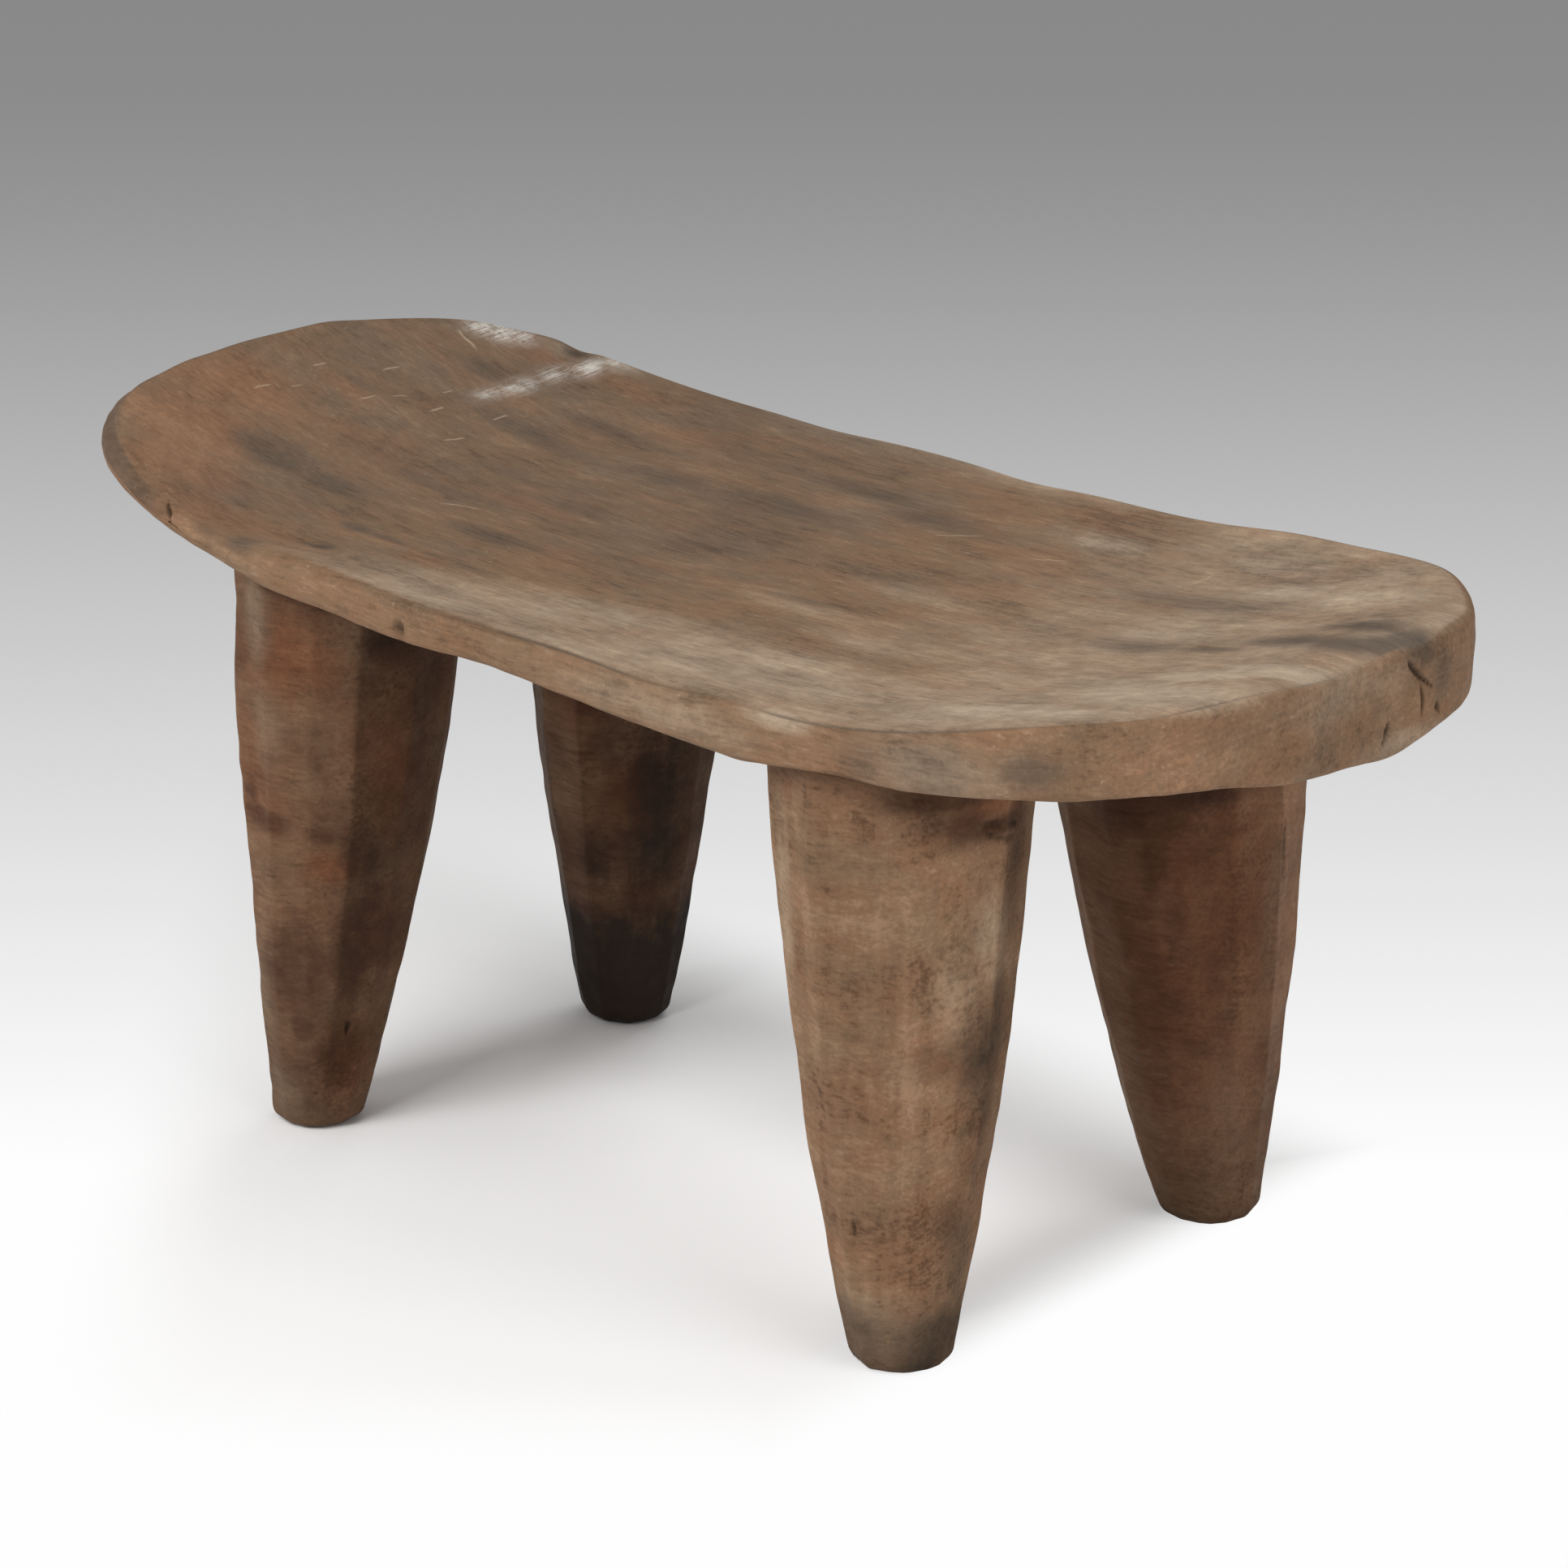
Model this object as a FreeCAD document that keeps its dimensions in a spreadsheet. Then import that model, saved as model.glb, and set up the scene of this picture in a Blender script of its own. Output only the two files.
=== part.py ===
"""Carved wooden stool: a dished oval seat on four tapering, faceted legs that sit in blind mortises.

Millimetres, +Z up. The floor is Z = 0, X runs along the seat and Y across it,
and the origin is on the floor under the middle of the seat.
"""
import FreeCAD, Part
import math
import os

import Sketcher

# Driving sizes that the whole stool shares.
SIZES = {
    "seat_length": 700.0,
    "seat_width": 343.0,
    "side_radius": 1900.0,
    "end_radius": 900.0,
    "corner_radius": 122.0,
    "rim_height": 315.5,
    "rim_thickness": 24.0,
    "rim_top_rounding": 7.0,
    "rim_under_rounding": 5.0,
    "left_end_rise": 38.0,
    "right_end_rise": 34.0,
    "dish_depth": 9.5,
    "dish_flat_length": 300.0,
    "dish_flat_radius": 4000.0,
    "underside_radius": 1500.0,
    "underside_shift": 45.0,
    "belly_drop": 28.0,
    "tenon_diameter": 50.0,
    "tenon_cover": 12.0,
    "tenon_root": 70.0,
    "tenon_clearance": 0.3,
    "tenon_end_gap": 1.0,
    "foot_rounding": 6.0,
}

# Each leg is cut by hand, so its foot, its top and its girth are its own.
# Widths are measured across the facets' corners.
LEGS = {
    "leg_front_left": {
        "foot_x": -202.0, "foot_y": -102.0, "top_x": -181.0, "top_y": -86.0,
        "foot_width": 43.0, "middle_width": 91.0, "top_width": 115.0, "facet_turn": 8.0,
    },
    "leg_front_right": {
        "foot_x": 186.0, "foot_y": -107.0, "top_x": 169.0, "top_y": -93.0,
        "foot_width": 46.0, "middle_width": 99.0, "top_width": 124.0, "facet_turn": 20.0,
    },
    "leg_rear_left": {
        "foot_x": -183.0, "foot_y": 98.0, "top_x": -164.0, "top_y": 85.0,
        "foot_width": 44.0, "middle_width": 92.0, "top_width": 116.0, "facet_turn": 14.0,
    },
    "leg_rear_right": {
        "foot_x": 190.0, "foot_y": 109.0, "top_x": 170.0, "top_y": 93.0,
        "foot_width": 48.0, "middle_width": 102.0, "top_width": 129.0, "facet_turn": 2.0,
    },
}
FACETS = 10

# How far cutting shapes reach past the wood that they cut.
CUT_OVERRUN = 40.0
BLANK_REACH = 130.0

# The sketcher's own codes for a curve's start, end and centre, and for the sketch's origin.
START, END, CENTRE = range(1, 4)
ORIGIN = (-1, START)


def make_sheet(doc):
    """Writes every driving size into the sheet, one alias to a row."""
    sheet = doc.addObject("Spreadsheet::Sheet", "Sizes")
    rows = dict(SIZES)
    for leg, sizes in LEGS.items():
        for size, value in sizes.items():
            rows[f"{leg}_{size}"] = value
    rows["cut_overrun"] = CUT_OVERRUN
    rows["blank_reach"] = BLANK_REACH
    for row, (alias, value) in enumerate(rows.items(), start=1):
        sheet.set(f"A{row}", alias.replace("_", " "))
        sheet.set(f"B{row}", str(value))
        sheet.setAlias(f"B{row}", alias)
    doc.recompute()
    return sheet


def vector(x, y):
    return FreeCAD.Vector(x, y, 0)


def add_sketch(body, name, plane, offset=None):
    """Adds a sketch on one of the body's own planes, moved along its normal by an expression."""
    sketch = body.newObject("Sketcher::SketchObject", name)
    support = next(feature for feature in body.Origin.OriginFeatures if feature.Role == plane)
    sketch.AttachmentSupport = [(support, "")]
    sketch.MapMode = "FlatFace"
    if offset:
        sketch.setExpression("AttachmentOffset.Base.z", offset)
    return sketch


def bind(sketch, kind, *where, value, size):
    """Adds a dimension that starts at a value and is then driven by an expression."""
    number = sketch.addConstraint(Sketcher.Constraint(kind, *where, value))
    sketch.setExpression(f"Constraints[{number}]", size)


def place(sketch, geometry, position, x, y, x_size, y_size):
    """Fixes a point of the sketch by its two distances from the origin."""
    bind(sketch, "DistanceX", *ORIGIN, geometry, position, value=x, size=x_size)
    bind(sketch, "DistanceY", *ORIGIN, geometry, position, value=y, size=y_size)


def arc(centre, radius, start, end):
    """An arc that runs anticlockwise between two angles in radians."""
    circle = Part.Circle(centre, FreeCAD.Vector(0, 0, 1), radius)
    return Part.ArcOfCircle(circle, start, end)


def angle_to(centre, point):
    return math.atan2(point.y - centre.y, point.x - centre.x)


def touch(centre, radius, other):
    """The point where an arc meets a smaller arc inside it that is tangent to it."""
    direction = other - centre
    direction.normalize()
    return centre + direction * radius


def corner_centre(size):
    """Centre of the corner arc that lies inside both the side arc and the end arc."""
    side = vector(0, size["seat_width"] / 2 - size["side_radius"])
    end = vector(size["seat_length"] / 2 - size["end_radius"], 0)
    reach_side = size["side_radius"] - size["corner_radius"]
    reach_end = size["end_radius"] - size["corner_radius"]
    span = (end - side).Length
    along = (reach_side ** 2 - reach_end ** 2 + span ** 2) / (2 * span)
    across = math.sqrt(reach_side ** 2 - along ** 2)
    direction = (end - side) / span
    return side + direction * along + vector(direction.y, -direction.x) * across


def oval_arcs(size):
    """The outline's eight arcs, anticlockwise from the right end, with their kinds."""
    corner = corner_centre(size)
    end = vector(size["seat_length"] / 2 - size["end_radius"], 0)
    side = vector(0, size["seat_width"] / 2 - size["side_radius"])
    end_half = angle_to(end, touch(end, size["end_radius"], corner))
    side_half = math.pi / 2 - angle_to(side, touch(side, size["side_radius"], corner))
    arcs = []
    for turn, mirror in ((0.0, 1), (math.pi, -1)):
        first = vector(corner.x * mirror, corner.y * mirror)
        second = vector(-corner.x * mirror, corner.y * mirror)
        quarter = turn + math.pi / 2
        stops = [turn - end_half, turn + end_half, quarter - side_half, quarter + side_half]
        stops.append(turn + math.pi - end_half)
        centres = [("end", end * mirror), ("corner", first), ("side", side * mirror), ("corner", second)]
        for number, (kind, centre) in enumerate(centres):
            arcs.append((kind, arc(centre, size[f"{kind}_radius"], stops[number], stops[number + 1])))
    return arcs


def draw_oval(sketch, size):
    """Draws the seat's outline: a side, a corner and an end radius, tangent all the way round."""
    kinds = []
    for kind, shape in oval_arcs(size):
        sketch.addGeometry(shape)
        kinds.append(kind)
    for number in range(len(kinds)):
        following = (number + 1) % len(kinds)
        sketch.addConstraint(Sketcher.Constraint("Tangent", number, END, following, START))
    for number, kind in enumerate(kinds):
        radius = size[f"{kind}_radius"]
        bind(sketch, "Radius", number, value=radius, size=f"Sizes.{kind}_radius")
        sign = 1 if number < 4 else -1
        if kind == "end":
            middle = sign * (size["seat_length"] / 2 - radius)
            place(sketch, number, CENTRE, middle, 0.0,
                  f"{sign} * (Sizes.seat_length / 2 - Sizes.end_radius)", "0")
        if kind == "side":
            middle = sign * (size["seat_width"] / 2 - radius)
            place(sketch, number, CENTRE, 0.0, middle,
                  "0", f"{sign} * (Sizes.seat_width / 2 - Sizes.side_radius)")


def hanging_arc(half_width, low, sag, overrun):
    """An arc through a low middle point and two higher points, drawn a little past both of them."""
    radius = (half_width ** 2 + sag ** 2) / (2 * sag)
    swing = math.asin((half_width + overrun) / radius)
    return arc(vector(0, low + radius), radius, -math.pi / 2 - swing, -math.pi / 2 + swing)


def draw_cross_section(sketch, size, low, low_size, sag_alias, far, far_size):
    """Closes a curved cross section of the seat with a flat far edge, above or below it."""
    half = size["seat_width"] / 2
    sag = size[sag_alias]
    curve = hanging_arc(half, low, sag, size["cut_overrun"])
    left, right = curve.StartPoint, curve.EndPoint
    sketch.addGeometry(curve)
    sketch.addGeometry(Part.LineSegment(right, vector(right.x, far)))
    sketch.addGeometry(Part.LineSegment(vector(right.x, far), vector(left.x, far)))
    sketch.addGeometry(Part.LineSegment(vector(left.x, far), left))
    for number in range(4):
        sketch.addConstraint(Sketcher.Constraint("Coincident", number, END, (number + 1) % 4, START))
    for number in (1, 3):
        sketch.addConstraint(Sketcher.Constraint("Vertical", number))
    sketch.addConstraint(Sketcher.Constraint("Horizontal", 2))
    radius_size = f"((Sizes.seat_width / 2) ^ 2 + Sizes.{sag_alias} ^ 2) / (2 * Sizes.{sag_alias})"
    reach_size = "Sizes.seat_width / 2 + Sizes.cut_overrun"
    bind(sketch, "Radius", 0, value=curve.Radius, size=radius_size)
    place(sketch, 0, CENTRE, 0.0, low + curve.Radius, "0", f"{low_size} + {radius_size}")
    bind(sketch, "DistanceX", *ORIGIN, 0, END, value=right.x, size=reach_size)
    bind(sketch, "DistanceX", *ORIGIN, 0, START, value=left.x, size=f"-({reach_size})")
    bind(sketch, "DistanceY", *ORIGIN, 1, END, value=far, size=far_size)


def dish_end(size, side, flat_centre):
    """The arc that lifts one end of the dish, tangent to its flat middle, and the tip it passes through."""
    half_flat = size["dish_flat_length"] / 2
    flat_radius = size["dish_flat_radius"]
    swing = math.asin(half_flat / flat_radius)
    joint = vector(side * half_flat, flat_centre.y - flat_radius * math.cos(swing))
    rise = size["right_end_rise"] if side > 0 else size["left_end_rise"]
    tip = vector(side * size["seat_length"] / 2, size["rim_height"] + rise)
    inward = (flat_centre - joint) / flat_radius
    chord = tip - joint
    radius = chord.Length ** 2 / (2 * chord.dot(inward))
    centre = joint + inward * radius
    overrun = size["seat_length"] / 2 + size["cut_overrun"]
    reach = math.asin((overrun - side * centre.x) / radius)
    down = -math.pi / 2
    first, last = sorted((down + side * swing, down + side * reach))
    return arc(centre, radius, first, last), tip


def draw_dish_path(sketch, size):
    """Draws the dish's long curve: an almost flat middle with a tighter arc up to each end."""
    half_flat = size["dish_flat_length"] / 2
    flat_radius = size["dish_flat_radius"]
    swing = math.asin(half_flat / flat_radius)
    flat_centre = vector(0, size["rim_height"] - size["dish_depth"] + flat_radius)
    left_arc, left_tip = dish_end(size, -1, flat_centre)
    right_arc, right_tip = dish_end(size, 1, flat_centre)
    down = -math.pi / 2
    sketch.addGeometry(left_arc)
    sketch.addGeometry(arc(flat_centre, flat_radius, down - swing, down + swing))
    sketch.addGeometry(right_arc)
    sketch.addGeometry(Part.Point(left_tip), True)
    sketch.addGeometry(Part.Point(right_tip), True)
    sketch.addConstraint(Sketcher.Constraint("Tangent", 0, END, 1, START))
    sketch.addConstraint(Sketcher.Constraint("Tangent", 1, END, 2, START))
    bind(sketch, "Radius", 1, value=flat_radius, size="Sizes.dish_flat_radius")
    place(sketch, 1, CENTRE, 0.0, flat_centre.y,
          "0", "Sizes.rim_height - Sizes.dish_depth + Sizes.dish_flat_radius")
    bind(sketch, "DistanceX", *ORIGIN, 1, START, value=-half_flat, size="-Sizes.dish_flat_length / 2")
    bind(sketch, "DistanceX", *ORIGIN, 1, END, value=half_flat, size="Sizes.dish_flat_length / 2")
    for point, tip, name, sign, outer, position in (
            (3, left_tip, "left", -1, 0, START), (4, right_tip, "right", 1, 2, END)):
        place(sketch, point, START, tip.x, tip.y,
              f"{sign} * Sizes.seat_length / 2", f"Sizes.rim_height + Sizes.{name}_end_rise")
        sketch.addConstraint(Sketcher.Constraint("PointOnObject", point, START, outer))
        bind(sketch, "DistanceX", *ORIGIN, outer, position,
             value=sign * (size["seat_length"] / 2 + size["cut_overrun"]),
             size=f"{sign} * (Sizes.seat_length / 2 + Sizes.cut_overrun)")


def cut_underside(body, size, above):
    """Turns the belly's cross section about a high axis across the seat and cuts above or below it."""
    sketch = add_sketch(body, "Underside", "YZ_Plane", "Sizes.underside_shift")
    edge = size["rim_height"] - size["rim_thickness"]
    edge_size = "Sizes.rim_height - Sizes.rim_thickness"
    reach = size["blank_reach"] if above else -size["rim_height"]
    reach_size = "Sizes.blank_reach" if above else "-Sizes.rim_height"
    draw_cross_section(sketch, size, edge - size["belly_drop"], f"{edge_size} - Sizes.belly_drop",
                       "belly_drop", edge + reach, f"{edge_size} + {reach_size}")
    axis_height = edge + size["underside_radius"]
    half = size["seat_width"] / 2
    line = Part.LineSegment(vector(-half, axis_height), vector(half, axis_height))
    axis = sketch.addGeometry(line, True)
    place(sketch, axis, START, -half, axis_height,
          "-Sizes.seat_width / 2", f"{edge_size} + Sizes.underside_radius")
    place(sketch, axis, END, half, axis_height,
          "Sizes.seat_width / 2", f"{edge_size} + Sizes.underside_radius")
    body.Document.recompute()
    groove = body.newObject("PartDesign::Groove", "UndersideCut")
    groove.Profile = sketch
    groove.ReferenceAxis = (sketch, ["Axis0"])
    groove.Midplane = True
    groove.setExpression("Angle", "2 * asin((Sizes.seat_length / 2 + abs(Sizes.underside_shift)"
                                  " + Sizes.cut_overrun) / (Sizes.underside_radius - Sizes.blank_reach))")
    body.Document.recompute()


def rim_edges(shape, upward):
    """Names of the edges where the seat's upright wall meets its top, or its underside."""
    names = []
    for number, edge in enumerate(shape.Edges, start=1):
        middle = edge.valueAt((edge.FirstParameter + edge.LastParameter) / 2)
        tilts = []
        for face in shape.ancestorsOfType(edge, Part.Face):
            tilts.append(face.normalAt(*face.Surface.parameter(middle)).z)
        wall = any(abs(tilt) < 0.1 for tilt in tilts)
        turned = any((tilt if upward else -tilt) > 0.5 for tilt in tilts)
        if wall and turned:
            names.append(f"Edge{number}")
    return names


def round_edges(body, name, edges, radius):
    """Rounds the named edges of the body's last feature."""
    last = body.Tip
    fillet = body.newObject("PartDesign::Fillet", name)
    fillet.Base = (last, edges)
    fillet.setExpression("Radius", radius)
    body.Document.recompute()


def draw_round(sketch, size, leg, radius, radius_size):
    """Draws the circle of a leg's tenon, or of its mortise."""
    x, y = size[f"{leg}_top_x"], size[f"{leg}_top_y"]
    sketch.addGeometry(Part.Circle(vector(x, y), FreeCAD.Vector(0, 0, 1), radius))
    place(sketch, 0, CENTRE, x, y, f"Sizes.{leg}_top_x", f"Sizes.{leg}_top_y")
    bind(sketch, "Radius", 0, value=radius, size=radius_size)


def cut_mortise(body, size, leg):
    """Drills one blind mortise up into the seat, a little wider and deeper than the tenon."""
    sketch = add_sketch(body, f"Mortise_{leg}", "XY_Plane",
                        "Sizes.rim_height - Sizes.tenon_cover + Sizes.tenon_end_gap")
    radius = size["tenon_diameter"] / 2 + size["tenon_clearance"]
    draw_round(sketch, size, leg, radius, "Sizes.tenon_diameter / 2 + Sizes.tenon_clearance")
    body.Document.recompute()
    before = body.Tip.Shape.Volume
    pocket = body.newObject("PartDesign::Pocket", f"Drill_{leg}")
    pocket.Profile = sketch
    pocket.setExpression("Length", "Sizes.blank_reach")
    body.Document.recompute()
    if body.Tip.Shape.Volume >= before:
        raise RuntimeError(f"the mortise for {leg} cuts nothing")


def make_seat(doc, size):
    """The seat: an oval blank, dished on top, bellied below, with soft edges and four mortises."""
    body = doc.addObject("PartDesign::Body", "seat")
    body.Label = "seat"
    outline = add_sketch(body, "Outline", "XY_Plane", "Sizes.rim_height - Sizes.blank_reach")
    draw_oval(outline, size)
    pad = body.newObject("PartDesign::Pad", "Blank")
    pad.Profile = outline
    pad.setExpression("Length", "Sizes.blank_reach + 2 * max(Sizes.left_end_rise; Sizes.right_end_rise)")
    doc.recompute()
    path = add_sketch(body, "DishPath", "XZ_Plane")
    draw_dish_path(path, size)
    profile = add_sketch(body, "DishSection", "YZ_Plane")
    low = size["rim_height"] - size["dish_depth"]
    low_size = "Sizes.rim_height - Sizes.dish_depth"
    draw_cross_section(profile, size, low, low_size, "dish_depth",
                       low + size["blank_reach"], f"{low_size} + Sizes.blank_reach")
    doc.recompute()
    dish = body.newObject("PartDesign::SubtractivePipe", "Dish")
    dish.Profile = profile
    dish.Spine = path
    doc.recompute()
    cut_underside(body, size, above=False)
    round_edges(body, "TopRounding", rim_edges(body.Tip.Shape, upward=True),
                "min(Sizes.rim_top_rounding; Sizes.rim_thickness * 0.45)")
    round_edges(body, "UnderRounding", rim_edges(body.Tip.Shape, upward=False),
                "min(Sizes.rim_under_rounding; Sizes.rim_thickness * 0.35)")
    for leg in LEGS:
        cut_mortise(body, size, leg)
    return body


def draw_facets(sketch, size, leg, level, x, y, x_size, y_size):
    """Draws one many-sided section of a leg about its own centre."""
    width = size[f"{leg}_{level}_width"]
    turn = math.radians(size[f"{leg}_facet_turn"])
    corners = []
    for number in range(FACETS):
        angle = turn + 2 * math.pi * number / FACETS
        corners.append(vector(x + width / 2 * math.cos(angle), y + width / 2 * math.sin(angle)))
    for number in range(FACETS):
        sketch.addGeometry(Part.LineSegment(corners[number], corners[(number + 1) % FACETS]))
    circle = sketch.addGeometry(Part.Circle(vector(x, y), FreeCAD.Vector(0, 0, 1), width / 2), True)
    for number in range(FACETS):
        sketch.addConstraint(Sketcher.Constraint("Coincident", number, END, (number + 1) % FACETS, START))
        sketch.addConstraint(Sketcher.Constraint("PointOnObject", number, START, circle))
    for number in range(1, FACETS):
        sketch.addConstraint(Sketcher.Constraint("Equal", 0, number))
    place(sketch, circle, CENTRE, x, y, x_size, y_size)
    bind(sketch, "Radius", circle, value=width / 2, size=f"Sizes.{leg}_{level}_width / 2")
    spoke = sketch.addGeometry(Part.LineSegment(vector(x, y), corners[0]), True)
    sketch.addConstraint(Sketcher.Constraint("Coincident", spoke, START, circle, CENTRE))
    sketch.addConstraint(Sketcher.Constraint("Coincident", spoke, END, 0, START))
    bind(sketch, "Angle", -1, START, spoke, START, value=turn, size=f"Sizes.{leg}_facet_turn * 1 deg")


def leg_sections(body, size, leg):
    """The leg's sections at the floor, half way up and at the rim's height, on one leaning axis."""
    sections = []
    for level, share in (("foot", 0.0), ("middle", 0.5), ("top", 1.0)):
        sketch = add_sketch(body, f"{level.title()}_{leg}", "XY_Plane", f"Sizes.rim_height * {share}")
        x = size[f"{leg}_foot_x"] * (1 - share) + size[f"{leg}_top_x"] * share
        y = size[f"{leg}_foot_y"] * (1 - share) + size[f"{leg}_top_y"] * share
        x_size = f"Sizes.{leg}_foot_x * {1 - share} + Sizes.{leg}_top_x * {share}"
        y_size = f"Sizes.{leg}_foot_y * {1 - share} + Sizes.{leg}_top_y * {share}"
        draw_facets(sketch, size, leg, level, x, y, x_size, y_size)
        sections.append(sketch)
    return sections


def foot_edges(shape):
    """Names of the edges round the flat of the foot."""
    names = []
    for number, edge in enumerate(shape.Edges, start=1):
        if edge.BoundBox.ZMax < 0.01:
            names.append(f"Edge{number}")
    return names


def make_leg(doc, size, leg):
    """A leg: a faceted, swelling taper, its top trimmed to the seat's underside, with a round tenon."""
    body = doc.addObject("PartDesign::Body", leg)
    body.Label = leg
    sections = leg_sections(body, size, leg)
    doc.recompute()
    loft = body.newObject("PartDesign::AdditiveLoft", f"Taper_{leg}")
    loft.Profile = sections[0]
    loft.Sections = sections[1:]
    doc.recompute()
    cut_underside(body, size, above=True)
    round_edges(body, f"FootRounding_{leg}", foot_edges(body.Tip.Shape),
                f"min(Sizes.foot_rounding; Sizes.{leg}_foot_width * 0.3)")
    sketch = add_sketch(body, f"Tenon_{leg}", "XY_Plane", "Sizes.rim_height - Sizes.tenon_root")
    draw_round(sketch, size, leg, size["tenon_diameter"] / 2, "Sizes.tenon_diameter / 2")
    doc.recompute()
    tenon = body.newObject("PartDesign::Pad", f"TenonPad_{leg}")
    tenon.Profile = sketch
    tenon.setExpression("Length", "Sizes.tenon_root - Sizes.tenon_cover")
    doc.recompute()
    return body


def check(doc, bodies):
    """Stops if any object failed or any piece is not one sound solid."""
    for item in doc.Objects:
        if "Invalid" in item.State or "Error" in item.State:
            raise RuntimeError(f"{item.Name} failed: {item.State}")
    for body in bodies:
        shape = body.Shape
        if shape.isNull() or not shape.isValid() or len(shape.Solids) != 1:
            raise RuntimeError(f"{body.Label} is not one sound solid")


def main():
    doc = FreeCAD.newDocument("carved_stool")
    sheet = make_sheet(doc)
    size = {}
    for row in range(1, len(sheet.getUsedCells()) // 2 + 1):
        alias = sheet.getAlias(f"B{row}")
        size[alias] = float(sheet.get(alias))
    bodies = [make_seat(doc, size)]
    for leg in LEGS:
        bodies.append(make_leg(doc, size, leg))
    doc.recompute()
    check(doc, bodies)
    os.makedirs("parts", exist_ok=True)
    for body in bodies:
        body.Shape.exportStep(f"parts/{body.Label}.step")
        box = body.Shape.BoundBox
        print(f"{body.Label}: {body.Shape.Volume / 1e6:.3f} litres, z {box.ZMin:.1f} to {box.ZMax:.1f}")


main()
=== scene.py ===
import math

import bpy
import numpy as np
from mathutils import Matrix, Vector


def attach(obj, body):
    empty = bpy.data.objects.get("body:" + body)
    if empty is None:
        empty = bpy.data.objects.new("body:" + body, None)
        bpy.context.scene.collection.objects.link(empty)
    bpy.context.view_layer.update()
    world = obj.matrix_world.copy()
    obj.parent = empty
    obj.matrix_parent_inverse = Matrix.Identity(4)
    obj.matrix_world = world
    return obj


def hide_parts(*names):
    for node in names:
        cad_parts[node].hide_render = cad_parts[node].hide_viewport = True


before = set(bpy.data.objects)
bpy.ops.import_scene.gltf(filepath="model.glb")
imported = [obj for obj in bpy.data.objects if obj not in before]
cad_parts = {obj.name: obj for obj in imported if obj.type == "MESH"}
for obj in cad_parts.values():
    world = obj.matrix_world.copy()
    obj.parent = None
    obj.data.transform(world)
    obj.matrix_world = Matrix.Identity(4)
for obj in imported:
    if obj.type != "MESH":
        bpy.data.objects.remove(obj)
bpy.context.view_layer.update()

# Sizes of the stool, the same as the solids', in metres.
SEAT_LENGTH = 0.700
SEAT_WIDTH = 0.343
SIDE_RADIUS = 1.900
END_RADIUS = 0.900
CORNER_RADIUS = 0.122
RIM_HEIGHT = 0.3155
RIM_THICKNESS = 0.024
LEFT_END_RISE = 0.038
RIGHT_END_RISE = 0.034
DISH_DEPTH = 0.0095
DISH_FLAT_LENGTH = 0.300
DISH_FLAT_RADIUS = 4.0
UNDERSIDE_RADIUS = 1.5
UNDERSIDE_SHIFT = 0.045
BELLY_DROP = 0.028
HALF_LENGTH = SEAT_LENGTH / 2
HALF_WIDTH = SEAT_WIDTH / 2

# Each leg's foot and top on plan, how far it bows between them, its widths from the floor up, the way each
# hewn flat faces in degrees and its tone from 0, dark, to 10, partly painted light: lighter on flats turned
# to the lamps, darker on those turned away. Then how high the floor's grime climbs and how strong it is, how
# dark the whole leg is, partly painted shade for the rear legs in the seat's shadow, how dark the painted
# shade close under the seat is, and its swells, in millimetres: centre, reach and height.
LEGS = {
    "leg_front_left": {
        "foot": (-0.202, -0.102), "top": (-0.181, -0.086), "bow": (0.0022, 0.0020),
        "widths": (0.043, 0.091, 0.115), "seed": 3,
        "flats": (-165, -135, -105, -77, -51, -25, 8, 40, 70, 100, 130, 160),
        "tones": (5, 9, 7, 6, 6, 2, 3, 5, 5, 4, 6, 5),
        "grime": (0.022, 0.30), "shade": 0.53, "under": 0.90, "swells": [(-225, -125, 215, 30, 30, 60, 2.5)],
    },
    "leg_front_right": {
        "foot": (0.186, -0.107), "top": (0.1705, -0.0917), "bow": (-0.0006, -0.0006),
        "widths": (0.046, 0.098, 0.124), "seed": 5,
        "flats": (-160, -135, -110, -70, -55, -40, -25, -8, 15, 45, 80, 110, 140, 170),
        "tones": (5, 8, 5, 4, 4, 6, 8, 7, 3, 3, 5, 4, 6, 5),
        "grime": (0.036, 0.58), "shade": 0.0, "under": 0.35, "swells": [],
    },
    "leg_rear_left": {
        "foot": (-0.181, 0.0955), "top": (-0.164, 0.085), "bow": (0.0, 0.0),
        "widths": (0.044, 0.092, 0.116), "seed": 8,
        "flats": (-155, -124, -94, -64, -28, -8, 18, 45, 75, 105, 135, 165),
        "tones": (5, 4, 8, 4, 3, 1, 1, 4, 5, 4, 6, 5),
        "grime": (0.068, 1.0), "shade": 0.62, "under": 0.85, "swells": [],
    },
    "leg_rear_right": {
        "foot": (0.190, 0.109), "top": (0.170, 0.093), "bow": (-0.0010, -0.0010),
        "widths": (0.048, 0.103, 0.129), "seed": 13,
        "flats": (-160, -130, -100, -76, -58, -36, -14, 18, 50, 80, 110, 140, 170),
        "tones": (5, 8, 4, 3, 4, 3, 5, 10, 8, 5, 4, 6, 5),
        "grime": (0.016, 0.30), "shade": 0.48, "under": 0.95, "swells": [],
    },
}

# The tables of marks below are in millimetres.
# Swells and hollows that the carver left in the rim: x, y, reach, and how much higher the edge is there.
CREST_SWELLS = [
    (-208, -157, 48, -6), (-262, -146, 22, -2.6), (90, -170, 30, -3), (205, 158, 60, 4),
    (185, 160, 40, 1.8), (318, 112, 25, -2.5), (338, 85, 30, -4.5), (342, 80, 34, -4.2),
    (-254, 143, 18, -1.6), (-318, 95, 28, -3), (-334, 70, 26, -3), (-348, -40, 25, -1.4),
    (-338, -70, 24, -2.8), (-100, 163, 30, -1.5), (25, 168, 30, -2), (-288, 125, 18, -2.2),
    (350, -25, 50, -8.5), (312, -120, 50, -2), (175, -161, 58, -5.2), (235, -152, 42, -2.6),
    (325, -100, 50, -4.8), (348, 15, 45, -4.2), (349, 42, 18, -6),
]
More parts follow.
